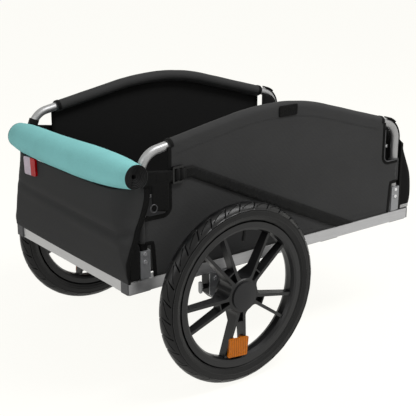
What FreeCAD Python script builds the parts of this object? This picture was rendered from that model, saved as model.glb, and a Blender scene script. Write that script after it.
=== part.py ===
import FreeCAD, Part
import math
import os

# Bicycle cargo trailer, in millimetres.
# +X is the way it travels, +Y is its left, +Z is up. The origin lies on the ground
# under the middle of the whole trailer. "Along" distances start at the frame's rear end.

Vector = FreeCAD.Vector

# Frame
frame_length = 818.0
frame_width = 470.0
rail_size = 25.0
rail_wall = 2.0
plug_cap = 3.0
plug_depth = 9.0
plug_clearance = 0.2
rail_above_axle = 33.0
cross_bar_rear_along = 300.0
cross_bar_front_inset = 258.0
joint_plate_thick = 2.5
joint_plate_width = 20.0
joint_plate_leg = 52.0
rivet_radius = 2.4
rivet_head_radius = 4.2
rivet_head_height = 1.5
rivet_grip = 6.0
fastener_clearance = 0.1

# Floor
floor_thick = 4.0
floor_side_inset = 31.0
floor_end_inset = 9.0
floor_corner_radius = 12.0
floor_screw_radius = 2.5
floor_screw_head_radius = 4.5
floor_screw_head_height = 2.0
floor_screw_recess = 0.1
floor_screw_length = 14.0
floor_screw_edge = 16.0

# Hoops and their hinges
hoop_tube = 19.0
hoop_wall = 1.5
hoop_rear_along = 45.0
hoop_front_inset = 45.0
hoop_apex_along = 386.0
hoop_apex_above_rail = 306.0
hoop_rear_arc = 700.0
hoop_front_arc = 520.0
hoop_rear_slope = 9.8
hoop_front_slope = 16.8
hoop_bend = 45.0
hinge_height = 14.0
hinge_pin_radius = 3.0
hinge_pin_head = 5.0
hinge_pin_head_thick = 1.6
running_clearance = 0.06
ear_thick = 3.0
ear_radius = 8.0
hinge_base_thick = 3.0
hinge_base_width = 20.0
ear_clearance = 0.4
foot_wall = 2.5
foot_clearance = 0.2
foot_height = 48.0
foot_tail_radius = 11.0
foot_inboard = 8.0
tube_end_above_pin = 10.0
foot_rivet_heights = (24.0, 41.0)
foot_rivet_length = 9.0

# Side walls
cloth_thick = 2.2
cloth_gap = 0.8
sleeve_gap = 0.3
sleeve_thick = 2.0
wall_above_rail = 1.0
hand_hole_rear_reach = 59.0
hand_hole_front_reach = 46.0
hand_hole_above_rail = 131.0
hand_hole_corner = 14.0
leg_sleeve_above_rail = 80.0
cut_out_rear_reach = 36.0
cut_out_front_reach = 32.0
cut_out_slant = 14.0
velcro_ahead_of_apex = 34.0
velcro_length = 53.0
velcro_height = 25.0
velcro_above_rail = 299.5
velcro_thick = 1.2
layer_gap = 0.4

# Side straps and their buckles
strap_width = 24.5
strap_thick = 1.6
buckle_along = 124.5
buckle_above_rail = 209.0
buckle_length = 27.0
buckle_height = 36.0
buckle_thick = 5.0
buckle_bar = 4.0
buckle_frame = 4.5
buckle_corner = 3.0
strap_bend_along = 161.0
strap_foot_along = 605.0

# Rear panel. Its sections run up from the panel's foot at even steps.
panel_thick = 2.2
panel_half_width = 239.0
panel_foot_above_rail = 0.4
panel_step = 18.0
panel_back = (0.0, -4.0, -6.0, -8.0, -9.0, -9.0, -5.5, -8.5, -9.0, -8.5, -8.0, -7.0, -6.0, -5.0)
panel_corner = (4.0, 5.0, 10.5, 19.5, 27.0, 34.0, 39.0, 47.0, 54.0, 59.0, 61.5, 60.0, 58.0, 56.0)
panel_crown = 3.0
panel_flap = 1.5
flap_top_above_rail = 204.0
roll_clearance = 0.6
reflector_centre = 127.0
reflector_width = 51.0
reflector_height = 40.0
reflector_above_rail = 167.5
reflector_behind = 11.2
reflector_thick = 5.0
reflector_corner = 5.0
reflector_white_width = 30.0
reflector_split_gap = 0.4
reflector_tilt = 4.0

# Rolled cover. Its shares run from the right end to the left one at even steps.
roll_right_reach = 267.0
roll_left_reach = 213.0
roll_radius = 36.4
roll_end_along = 6.5
roll_bow = 17.0
roll_crown = 4.0
roll_right_above_rail = 229.7
roll_left_above_rail = 217.3
roll_lap = 3.0
roll_lap_angle = 20.0
roll_radius_shares = (0.77, 0.88, 0.95, 0.99, 1.0, 1.0, 0.98, 0.93, 0.86, 0.77)

# Corner straps and rings on the rear panel
corner_strap_rear_low = (37.0, 195.0)
corner_strap_rear_high = (40.0, 232.0)
corner_strap_front_low = 197.0
corner_strap_front_high = 221.0
tab_rear_along = 62.0
tab_front_along = 101.0
tab_bottom_above_rail = 135.0
tab_corner = 6.0
ring_radius = 8.0
ring_wire = 1.3
ring_above_rail = 150.0

# Front panel. Its sections run up from the panel's foot at even steps.
front_half_width = 232.0
front_foot_below_rail = 11.0
front_step = 33.0
front_reach = (7.0, 21.0, 22.0, 17.5, -1.0, -18.0, -26.0)
front_corner = (12.0, 20.0, 22.0, 24.0, 16.0, 9.5, 3.5)
front_flap_inset = 30.0
front_crown = 4.0
front_rail_clearance = 0.6

# Wheels
tyre_diameter = 400.0
tyre_section = 22.0
tyre_wall = 3.5
bead_radius = 153.0
bead_half_width = 12.6
bead_thick = 3.2
bead_clearance = 0.35
tube_wall = 1.2
tube_clearance = 0.3
valve_radius = 4.0
valve_length = 24.0
valve_cap_radius = 4.6
valve_cap_length = 9.0
valve_angle = 83.6
axle_along = 237.0
wheel_from_frame = 62.0
rim_half_width = 17.0
rim_flange = 160.2
rim_flange_thick = 3.6
rim_inner_radius = 144.0
rim_waist_radius = 140.5
rim_shell = 4.5
rim_well_depth = 5.0
rim_well_half_width = 7.0
hub_radius = 38.0
hub_outboard = 19.0
hub_inboard = 32.0
hub_face_inset = 2.0
spoke_pairs = 5
spoke_phase = 47.7
spoke_width = 7.0
spoke_hub_spread = 7.0
spoke_rim_spread = 27.0
spoke_hub_depth_out = 17.0
spoke_hub_depth_in = 24.0
spoke_rim_depth = 10.0
spoke_waist_radius = 64.0
spoke_waist_depth = 9.0
spoke_fillet = 13.0
pocket_web_radius = 59.0
pocket_web_thick = 3.0
pocket_floor_thick = 5.0
cap_radius = 30.5
cap_thick = 5.5
cap_edge = 3.0
cap_plug_radius = 26.0
cap_plug_wall = 2.0
cap_plug_depth = 5.0
cap_clearance = 0.2
bearing_outer = 14.0
bearing_width = 8.0
bearing_ring = 2.4
bearing_step = 0.6
bearing_outboard = 12.5
bearing_inboard = 20.0
bearing_clearance = 0.1
spoke_reflector_width = 52.0
spoke_reflector_height = 42.0
spoke_reflector_thick = 4.0
spoke_reflector_radius = 116.0
spoke_reflector_gap = 0.4
spoke_reflector_corner = 3.0
reflector_clip_width = 4.0
reflector_clip_depth = 12.0
reflector_clip_height = 16.0

# Axle brackets, stub axles and release knobs
block_length = 64.0
block_depth = 26.0
block_inset = 2.0
block_straight = 48.0
block_chamfer = 16.0
plate_thick = 3.0
axle_radius = 6.0
axle_head_radius = 9.0
axle_head_thick = 3.6
axle_head_gap = 0.3
axle_groove_radius = 4.0
axle_groove_width = 6.6
axle_bore_floor = 2.0
spacer_radius = 10.0
spacer_gap = 0.3
bolt_radius = 3.0
bolt_head_radius = 5.2
bolt_head_height = 3.0
plate_bolt_side = 16.0
plate_bolt_up = 20.0
plate_bolt_down = 19.0
rail_bolt_side = 25.0
rail_bolt_inset = 5.5
rail_bolt_radius = 2.5
rail_bolt_head_radius = 4.4
rail_bolt_recess = 4.0
rail_bolt_reach = 6.0
boss_radius = 5.5
boss_length = 8.0
knob_rod = 2.0
knob_collar_radius = 4.0
knob_collar_thick = 3.0
knob_bore_radius = 4.5
knob_nose_radius = 2.8
knob_nose_length = 10.5
spring_length = 12.0
spring_wire = 0.8
spring_turns = 5
paddle_gap = 4.0
paddle_thick = 3.0
paddle_width = 11.0
paddle_height = 27.0

# Tow arm and hitch
tow_pivot_inset = 83.0
tow_pivot_below_rail = 18.0
arm_tube = 25.0
arm_wall = 2.0
arm_straight = 90.0
arm_reach = 430.0
arm_inboard = 104.0
arm_rise = 10.0
arm_end = 50.0
arm_bend = 70.0
arm_tongue = 13.0
tow_ear_gap = 0.5
tow_ear_thick = 3.0
tow_ear_front = 15.0
tow_ear_back = 22.0
tow_base_thick = 2.4
tow_bolt_radius = 4.0
tow_bolt_head = 7.0
tow_bolt_head_thick = 4.0
clamp_knob_radius = 15.0
clamp_knob_thick = 13.0
clamp_knob_lobes = 6
clamp_knob_scallop = 5.0
clamp_gap = 0.4
clevis_plate = 3.0
clevis_width = 28.0
clevis_gap = 0.6
clevis_back = 19.0
clevis_lug_length = 40.0
clevis_lug_height = 26.0
clevis_lug_thick = 6.0
hitch_hole_radius = 5.0
hitch_pin_radius = 4.0
hitch_pin_head = 7.0
hitch_pin_head_thick = 3.0
hitch_pin_tail = 5.0

# One overrun serves every cut
overrun = 1.0

# Places worked out from the sizes above
axle_height = tyre_diameter / 2
rail_bottom = axle_height + rail_above_axle
rail_top = rail_bottom + rail_size
half_frame = frame_width / 2
rail_middle = half_frame - rail_size / 2
rear_overhang = roll_radius + roll_bow - roll_end_along
front_overhang = max(front_reach) + front_crown
hoop_front_along = frame_length - hoop_front_inset
rear_end = -(frame_length + rear_overhang + front_overhang) / 2 + rear_overhang
hinge_z = rail_top + hinge_height
hoop_radius = hoop_tube / 2
hoop_apex_z = rail_top + hoop_apex_above_rail
sleeve_inner = hoop_radius + sleeve_gap
sleeve_outer = sleeve_inner + sleeve_thick
cloth_inner_y = rail_middle + hoop_radius + cloth_gap
cloth_outer_y = cloth_inner_y + cloth_thick
wheel_y = half_frame + wheel_from_frame
tyre_centre = tyre_diameter / 2 - tyre_section
tow_z = rail_bottom - tow_pivot_below_rail
arm_radius = arm_tube / 2


def along(distance):
    return rear_end + distance


axle_x = along(axle_along)


def box(x0, x1, y0, y1, z0, z1):
    return Part.makeBox(x1 - x0, y1 - y0, z1 - z0, Vector(x0, y0, z0))


def cylinder_x(x0, x1, y, z, radius):
    return Part.makeCylinder(radius, x1 - x0, Vector(x0, y, z), Vector(1, 0, 0))


def cylinder_y(x, y0, y1, z, radius):
    return Part.makeCylinder(radius, y1 - y0, Vector(x, y0, z), Vector(0, 1, 0))


def cylinder_z(x, y, z0, z1, radius):
    return Part.makeCylinder(radius, z1 - z0, Vector(x, y, z0), Vector(0, 0, 1))


def polygon_face(points):
    return Part.Face(Part.makePolygon(points + points[:1]))


def plate_xz(points, y0, y1):
    face = polygon_face([Vector(x, y0, z) for x, z in points])
    return face.extrude(Vector(0, y1 - y0, 0))


def plate_xy(points, z0, z1):
    face = polygon_face([Vector(x, y, z0) for x, y in points])
    return face.extrude(Vector(0, 0, z1 - z0))


def edges_along(shape, axis):
    """The straight edges of a shape that run along one axis."""
    found = []
    for edge in shape.Edges:
        if edge.Curve.TypeId != "Part::GeomLine":
            continue
        run = edge.Vertexes[-1].Point - edge.Vertexes[0].Point
        if abs(run.normalize().dot(axis)) > 0.999:
            found.append(edge)
    return found


def rounded_box(x0, x1, y0, y1, z0, z1, radius, axis):
    plain = box(x0, x1, y0, y1, z0, z1)
    return plain.makeFillet(radius, edges_along(plain, axis))


def mirrored(shape):
    """The same piece on the other side of the trailer."""
    return shape.mirror(Vector(0, 0, 0), Vector(0, 1, 0))


def fused(shapes):
    whole = shapes[0]
    for shape in shapes[1:]:
        whole = whole.fuse(shape)
    return whole.removeSplitter()


def save(name, *shapes):
    """Writes one node, with each of its solids as a separate one."""
    solids = []
    for shape in shapes:
        solids.extend(shape.Solids)
    whole = solids[0] if len(solids) == 1 else Part.makeCompound(solids)
    whole.exportStep("parts/" + name + ".step")
    volume = sum(solid.Volume for solid in solids)
    valid = all(solid.isValid() for solid in solids)
    print(name, "solids", len(solids), "valid", valid, "volume", round(volume))


def both_sides(name, shape):
    """Writes a piece of the right side and its mirror image on the left."""
    save(name + "_right", shape)
    save(name + "_left", mirrored(shape))


# Frame

def square_tube(start, end, across, axis):
    """A square tube that runs along X or Y, with its middle line at "across"."""
    half = rail_size / 2
    inner = half - rail_wall
    if axis == "x":
        outside = box(start, end, across - half, across + half, rail_bottom, rail_top)
        inside = box(start - overrun, end + overrun, across - inner, across + inner,
                     rail_bottom + rail_wall, rail_top - rail_wall)
    else:
        outside = box(across - half, across + half, start, end, rail_bottom, rail_top)
        inside = box(across - inner, across + inner, start - overrun, end + overrun,
                     rail_bottom + rail_wall, rail_top - rail_wall)
    return outside.cut(inside)


def cross_places():
    """The middle lines of the four bars that run across the frame."""
    rear = along(plug_cap + rail_size / 2)
    front = along(frame_length - plug_cap - rail_size / 2)
    return rear, along(cross_bar_rear_along), along(frame_length - cross_bar_front_inset), front


def rivet_up(x, y, head_z):
    """A rivet from below, with its head's flat at head_z."""
    head = cylinder_z(x, y, head_z - rivet_head_height, head_z, rivet_head_radius)
    shank = cylinder_z(x, y, head_z - rivet_head_height / 2, head_z + rivet_grip, rivet_radius)
    return head.fuse(shank).removeSplitter()


def rivet_down(x, y, head_z):
    head = cylinder_z(x, y, head_z, head_z + rivet_head_height, rivet_head_radius)
    shank = cylinder_z(x, y, head_z - rivet_grip, head_z + rivet_head_height / 2, rivet_radius)
    return head.fuse(shank).removeSplitter()


def corner_plate(x, side, inward):
    """An L under one corner, with its rivet places. Inward is 1 at the rear and -1 at the front."""
    edge = side * half_frame
    half_rail = rail_size / 2
    outer = edge - side * (half_rail - joint_plate_width / 2)
    inner = outer - side * joint_plate_width
    far = outer - side * joint_plate_leg
    start = x - inward * joint_plate_width / 2
    turn = start + inward * joint_plate_width
    end = start + inward * joint_plate_leg
    points = [(start, outer), (end, outer), (end, inner), (turn, inner), (turn, far), (start, far)]
    plate = plate_xy(points, rail_bottom - joint_plate_thick, rail_bottom)
    middle = (outer + inner) / 2
    first = joint_plate_leg - joint_plate_width / 2
    places = [(start + inward * first, middle), (x, middle), (x, outer - side * first)]
    return plate, places


def tee_plate(x, side):
    """A T under one end of a floor bar, with its rivet places."""
    outer = side * (half_frame - rail_size / 2 + joint_plate_width / 2)
    inner = outer - side * joint_plate_width
    far = outer - side * joint_plate_leg
    half = joint_plate_leg / 2
    stem = joint_plate_width / 2
    points = [(x - half, outer), (x + half, outer), (x + half, inner), (x + stem, inner),
              (x + stem, far), (x - stem, far), (x - stem, inner), (x - half, inner)]
    plate = plate_xy(points, rail_bottom - joint_plate_thick, rail_bottom)
    middle = (outer + inner) / 2
    first = joint_plate_leg / 2 - joint_plate_width / 4
    places = [(x - first, middle), (x + first, middle), (x, far + side * joint_plate_width / 2)]
    return plate, places


def joint_plates():
    rear, second, third, front = cross_places()
    plates = []
    places = []
    for side in (-1, 1):
        for plate, spots in (corner_plate(rear, side, 1), tee_plate(second, side),
                             tee_plate(third, side), corner_plate(front, side, -1)):
            plates.append(plate)
            places.extend(spots)
    return plates, places


def hinge_places():
    return [(along(distance), side * rail_middle)
            for side in (-1, 1) for distance in (hoop_rear_along, hoop_front_along)]


def frame():
    plates, places = joint_plates()
    rear, second, third, front = cross_places()
    under = [cylinder_z(x, y, rail_bottom - joint_plate_thick - overrun, rail_bottom + rail_wall + overrun,
                        rivet_radius + fastener_clearance) for x, y in places]
    over = [cylinder_z(x, y, rail_top - rail_wall - overrun, rail_top + overrun,
                       rivet_radius + fastener_clearance) for x, y in hinge_places()]
    bolts = [cylinder_z(axle_x + step * rail_bolt_side, side * (block_inner_y + rail_bolt_inset),
                        rail_bottom - overrun, rail_bottom + rail_wall + overrun,
                        rail_bolt_radius + fastener_clearance)
             for step in (-1, 1) for side in (-1, 1)]
    start = along(plug_cap)
    end = along(frame_length - plug_cap)
    for side, name in ((-1, "right"), (1, "left")):
        rail = square_tube(start, end, side * rail_middle, "x")
        save("side_rail_" + name, rail.cut(under + over + bolts))
    inner = half_frame - rail_size
    screws = floor_screw_holes(rail_top - rail_wall - overrun, rail_top + overrun)
    bars = [square_tube(-inner, inner, x, "y").cut(under + screws) for x in (rear, second, third, front)]
    save("rear_rail", bars[0])
    save("floor_cross_bars", bars[1], bars[2])
    save("front_rail", bars[3])
    save("joint_plates", *[plate.cut(under) for plate in plates])
    rivets = [rivet_up(x, y, rail_bottom - joint_plate_thick) for x, y in places]
    rivets += [rivet_down(x, y, rail_top + hinge_base_thick) for x, y in hinge_places()]
    save("frame_rivets", *rivets)


def end_plugs():
    half = rail_size / 2
    fit = half - rail_wall - plug_clearance
    plugs = []
    for side in (-1, 1):
        y = side * rail_middle
        for end, inward in ((0, 1), (frame_length, -1)):
            face = along(end)
            cap = sorted((face, face + inward * plug_cap))
            body = sorted((face + inward * plug_cap, face + inward * (plug_cap + plug_depth)))
            middle = rail_bottom + half
            outer = box(cap[0], cap[1], y - half, y + half, rail_bottom, rail_top)
            inner = box(body[0], body[1], y - fit, y + fit, middle - fit, middle + fit)
            plugs.append(fused([outer, inner]))
    save("rail_end_plugs", *plugs)


# Floor

def floor_screw_places():
    rear, second, third, front = cross_places()
    reach = half_frame - floor_side_inset - floor_screw_edge
    return [(x, y) for x in (rear + floor_end_inset / 2, second, third, front - floor_end_inset / 2)
            for y in (-reach, -reach / 3, reach / 3, reach)]


def countersink(x, y, top, grow):
    """A screw head's cone, with its wide end up."""
    low = top - floor_screw_head_height
    return Part.makeCone(floor_screw_radius + grow, floor_screw_head_radius + grow, floor_screw_head_height,
                         Vector(x, y, low), Vector(0, 0, 1))


def floor_screw_holes(z0, z1):
    return [cylinder_z(x, y, z0, z1, floor_screw_radius + fastener_clearance)
            for x, y in floor_screw_places()]


def floor():
    half = half_frame - floor_side_inset
    top = rail_top + floor_thick
    panel = rounded_box(along(floor_end_inset), along(frame_length - floor_end_inset), -half, half,
                        rail_top, top, floor_corner_radius, Vector(0, 0, 1))
    sinks = [countersink(x, y, top, fastener_clearance) for x, y in floor_screw_places()]
    save("floor_panel", panel.cut(floor_screw_holes(rail_top - overrun, top + overrun) + sinks))
    screws = []
    for x, y in floor_screw_places():
        head = countersink(x, y, top - floor_screw_recess, 0)
        shank = cylinder_z(x, y, top - floor_screw_length, top - floor_screw_recess, floor_screw_radius)
        screws.append(fused([head, shank]))
    save("floor_screws", *screws)


# Hoops

def hoop_path():
    """The right hoop's middle line, from its rear foot over the arch to its front foot."""
    y = -rail_middle
    rear_angle = math.radians(hoop_rear_slope)
    front_angle = math.radians(hoop_front_slope)
    rear_x = along(hoop_rear_along)
    front_x = along(hoop_front_along)
    apex_x = along(hoop_apex_along)
    foot_z = hinge_z + tube_end_above_pin

    rear_end_x = apex_x - hoop_rear_arc * math.sin(rear_angle)
    rear_end_z = hoop_apex_z - hoop_rear_arc * (1 - math.cos(rear_angle))
    front_end_x = apex_x + hoop_front_arc * math.sin(front_angle)
    front_end_z = hoop_apex_z - hoop_front_arc * (1 - math.cos(front_angle))
    rear_corner_z = rear_end_z - (rear_end_x - rear_x) * math.tan(rear_angle)
    front_corner_z = front_end_z - (front_x - front_end_x) * math.tan(front_angle)

    rear_cut = hoop_bend * math.tan((math.pi / 2 - rear_angle) / 2)
    front_cut = hoop_bend * math.tan((math.pi / 2 - front_angle) / 2)
    rear_half = (math.pi / 2 - rear_angle) / 2
    front_half = (math.pi / 2 - front_angle) / 2

    def point(x, z):
        return Vector(x, y, z)

    def rear_bend_point(angle):
        centre_x = rear_x + hoop_bend
        centre_z = rear_corner_z - rear_cut
        return point(centre_x - hoop_bend * math.cos(angle), centre_z + hoop_bend * math.sin(angle))

    def front_bend_point(angle):
        centre_x = front_x - hoop_bend
        centre_z = front_corner_z - front_cut
        return point(centre_x + hoop_bend * math.cos(angle), centre_z + hoop_bend * math.sin(angle))

    def arch_point(radius, angle):
        return point(apex_x + radius * math.sin(angle), hoop_apex_z - radius * (1 - math.cos(angle)))

    apex = point(apex_x, hoop_apex_z)
    rear_start = rear_bend_point(0)
    rear_stop = rear_bend_point(2 * rear_half)
    front_start = front_bend_point(2 * front_half)
    front_stop = front_bend_point(0)
    return [
        Part.LineSegment(point(rear_x, foot_z), rear_start).toShape(),
        Part.Arc(rear_start, rear_bend_point(rear_half), rear_stop).toShape(),
        Part.LineSegment(rear_stop, point(rear_end_x, rear_end_z)).toShape(),
        Part.Arc(point(rear_end_x, rear_end_z), arch_point(hoop_rear_arc, -rear_angle / 2), apex).toShape(),
        Part.Arc(apex, arch_point(hoop_front_arc, front_angle / 2), point(front_end_x, front_end_z)).toShape(),
        Part.LineSegment(point(front_end_x, front_end_z), front_start).toShape(),
        Part.Arc(front_start, front_bend_point(front_half), front_stop).toShape(),
        Part.LineSegment(front_stop, point(front_x, foot_z)).toShape(),
    ]


def pipe(edges, radius):
    """A round bar along a smooth run of edges."""
    wire = Part.Wire(edges)
    start = wire.Edges[0].firstVertex(True).Point
    heading = wire.Edges[0].tangentAt(wire.Edges[0].FirstParameter)
    if (wire.Edges[0].valueAt(wire.Edges[0].FirstParameter) - start).Length > overrun:
        heading = -heading
    ring = Part.Wire(Part.Circle(start, heading, radius).toShape())
    return wire.makePipeShell([ring], True, False)


def hoop():
    edges = hoop_path()
    outside = pipe(edges, hoop_radius)
    inside = pipe(edges, hoop_radius - hoop_wall)
    tube = outside.cut(inside)
    holes = []
    for distance in (hoop_rear_along, hoop_front_along):
        for height in foot_rivet_heights:
            holes.append(cylinder_y(along(distance), -rail_middle - hoop_radius - overrun, -rail_middle,
                                    hinge_z + height, rivet_radius + fastener_clearance))
    return tube.cut(holes)


def hinge_base(x, y):
    """A U on the rail's top. Its two ears hold the hinge pin."""
    half = hoop_radius + foot_clearance - ear_clearance
    top = rail_top + hinge_base_thick
    deep = hinge_base_width / 2
    plate = box(x - half, x + half, y - deep, y + deep, rail_top, top)
    ears = []
    for side in (-1, 1):
        outer = x + side * half
        inner = outer - side * ear_thick
        x0, x1 = sorted((inner, outer))
        ears.append(box(x0, x1, y - ear_radius, y + ear_radius, rail_top, hinge_z))
        ears.append(cylinder_x(x0, x1, y, hinge_z, ear_radius))
    bracket = fused([plate] + ears)
    bore = cylinder_x(x - half - overrun, x + half + overrun, y, hinge_z,
                      hinge_pin_radius + running_clearance)
    hole = cylinder_z(x, y, rail_top - overrun, top + overrun, rivet_radius + fastener_clearance)
    return bracket.cut([bore, hole])


def hinge_pin(x, y):
    reach = hoop_radius + foot_clearance + foot_wall + layer_gap
    shank = cylinder_x(x - reach, x + reach, y, hinge_z, hinge_pin_radius)
    heads = [cylinder_x(x + reach, x + reach + hinge_pin_head_thick, y, hinge_z, hinge_pin_head),
             cylinder_x(x - reach - hinge_pin_head_thick, x - reach, y, hinge_z, hinge_pin_head)]
    return fused([shank] + heads)


def hoop_foot(x):
    """A channel round the right hoop's leg, riveted to it and hung on the hinge pin."""
    y = -rail_middle
    inner = hoop_radius + foot_clearance
    outer = inner + foot_wall
    low = hinge_z - foot_tail_radius
    high = hinge_z + foot_height
    web = box(x - outer, x + outer, y - outer, y - inner, low, high)
    cheeks = []
    for side in (-1, 1):
        x0, x1 = sorted((x + side * inner, x + side * outer))
        cheeks.append(box(x0, x1, y - outer, y + foot_inboard, hinge_z, high))
        cheeks.append(box(x0, x1, y - outer, y, low, hinge_z))
        cheeks.append(cylinder_x(x0, x1, y, hinge_z, foot_inboard))
    channel = fused([web] + cheeks)
    bore = cylinder_x(x - outer - overrun, x + outer + overrun, y, hinge_z,
                      hinge_pin_radius + running_clearance)
    holes = [cylinder_y(x, y - outer - overrun, y, hinge_z + height, rivet_radius + fastener_clearance)
             for height in foot_rivet_heights]
    return channel.cut([bore] + holes)


def foot_rivet(x, z):
    face = -rail_middle - hoop_radius - foot_clearance - foot_wall
    head = cylinder_y(x, face - rivet_head_height, face, z, rivet_head_radius)
    shank = cylinder_y(x, face - rivet_head_height / 2, face + foot_rivet_length, z, rivet_radius)
    return fused([head, shank])


def hoops():
    places = hinge_places()
    save("hinge_bases", *[hinge_base(x, y) for x, y in places])
    save("hinge_pins", *[hinge_pin(x, y) for x, y in places])
    both_sides("hoop", hoop())
    legs = (along(hoop_rear_along), along(hoop_front_along))
    both_sides("hoop_feet", Part.makeCompound([hoop_foot(x) for x in legs]))
    rivets = [foot_rivet(x, hinge_z + height) for x in legs for height in foot_rivet_heights]
    both_sides("foot_rivets", Part.makeCompound(rivets))


# Side walls

def under_hoop(y0, y1, low):
    """The plate that fills the right hoop's arch down to a height."""
    edges = hoop_path()
    rear = edges[0].Vertexes[0].Point
    front = edges[-1].Vertexes[-1].Point
    corners = [front, Vector(front.x, front.y, low), Vector(rear.x, rear.y, low), rear]
    sides = [Part.LineSegment(a, b).toShape() for a, b in zip(corners, corners[1:])]
    face = Part.Face(Part.Wire(Part.__sortEdges__(edges + sides)))
    face.translate(Vector(0, y0 - rear.y, 0))
    return face.extrude(Vector(0, y1 - y0, 0))


def hand_hole(x0, x1, high_side):
    """The cut for a hand hole, rounded at its lower corner away from the leg."""
    low = rail_top + hand_hole_above_rail
    hole = box(x0, x1, -cloth_outer_y - overrun, -rail_middle + sleeve_outer + overrun,
               low, hoop_apex_z + hoop_tube)
    edges = [edge for edge in edges_along(hole, Vector(0, 1, 0))
             if edge.CenterOfMass.z < low + overrun and (edge.CenterOfMass.x > (x0 + x1) / 2) == high_side]
    return hole.makeFillet(hand_hole_corner, edges)


def hinge_cut_outs(low):
    """The slanted cuts that leave both hinges bare."""
    top = rail_top + leg_sleeve_above_rail
    rear = along(hoop_rear_along - hoop_tube)
    front = along(hoop_front_along + hoop_tube)
    rear_edge = along(hoop_rear_along + cut_out_rear_reach)
    front_edge = along(hoop_front_along - cut_out_front_reach)
    y0 = -cloth_outer_y - overrun
    y1 = -rail_middle + sleeve_outer + overrun
    return [
        plate_xz([(rear, low), (rear_edge, low), (rear_edge - cut_out_slant, top), (rear, top)], y0, y1),
        plate_xz([(front, low), (front_edge, low), (front_edge + cut_out_slant / 2, top), (front, top)],
                 y0, y1),
    ]


def side_wall():
    """Cloth from the rail to the hoop, with sleeves round the arch and the legs."""
    bottom = rail_top + wall_above_rail
    cloth = under_hoop(-cloth_outer_y, -cloth_inner_y, bottom)
    edges = hoop_path()
    sleeve = pipe(edges, sleeve_outer)
    bore = pipe(edges, sleeve_inner)
    low = bottom - overrun
    holes = [hand_hole(along(hoop_rear_along - hoop_tube), along(hoop_rear_along + hand_hole_rear_reach), True),
             hand_hole(along(hoop_front_along - hand_hole_front_reach), along(hoop_front_along + hoop_tube), False)]
    shape = cloth.fuse(sleeve.cut(bore)).cut(holes + hinge_cut_outs(low))
    return shape.removeSplitter()


def velcro_patch():
    x0 = along(hoop_apex_along + velcro_ahead_of_apex - velcro_length / 2)
    z1 = rail_top + velcro_above_rail + velcro_height / 2
    face = -cloth_outer_y - layer_gap
    return box(x0, x0 + velcro_length, face - velcro_thick, face, z1 - velcro_height, z1)


# Side straps

def strip(points, width):
    """The outline of a flat band along two or more points."""
    left = []
    right = []
    half = width / 2
    for index, (x, z) in enumerate(points):
        before = points[max(index - 1, 0)]
        after = points[min(index + 1, len(points) - 1)]
        first = math.atan2(z - before[1], x - before[0]) if index else None
        second = math.atan2(after[1] - z, after[0] - x) if index < len(points) - 1 else first
        first = second if first is None else first
        heading = (first + second) / 2
        reach = half / math.cos((second - first) / 2)
        left.append((x - reach * math.sin(heading), z + reach * math.cos(heading)))
        right.append((x + reach * math.sin(heading), z - reach * math.cos(heading)))
    return left + right[::-1]


def side_strap():
    """Webbing from the rail up to the buckle."""
    face = -cloth_outer_y - layer_gap
    z = rail_top + buckle_above_rail
    foot = rail_top + wall_above_rail
    start = along(buckle_along + buckle_length / 2 + layer_gap)
    points = [(start, z), (along(strap_bend_along), z), (along(strap_foot_along), foot)]
    strap = plate_xz(strip(points, strap_width), face - strap_thick, face)
    below = box(along(0), along(frame_length), face - strap_thick - overrun, face + overrun,
                foot - strap_width, foot)
    return strap.cut(below)


def strap_buckle():
    """A ladder lock: a frame with a bar between its two slots."""
    face = -cloth_outer_y - layer_gap
    x0 = along(buckle_along - buckle_length / 2)
    x1 = along(buckle_along + buckle_length / 2)
    z0 = rail_top + buckle_above_rail - buckle_height / 2
    z1 = z0 + buckle_height
    body = rounded_box(x0, x1, face - buckle_thick, face, z0, z1, buckle_corner, Vector(0, 1, 0))
    slot = (buckle_length - 3 * buckle_bar) / 2
    slots = []
    for start in (x0 + buckle_bar, x1 - buckle_bar - slot):
        slots.append(box(start, start + slot, face - buckle_thick - overrun, face + overrun,
                         z0 + buckle_frame, z1 - buckle_frame))
    return body.cut(slots)


def side_walls():
    both_sides("side_wall", side_wall())
    both_sides("velcro_patch", velcro_patch())
    both_sides("side_strap", side_strap())
    both_sides("strap_buckle", strap_buckle())


# Rear panel and what it carries

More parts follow.
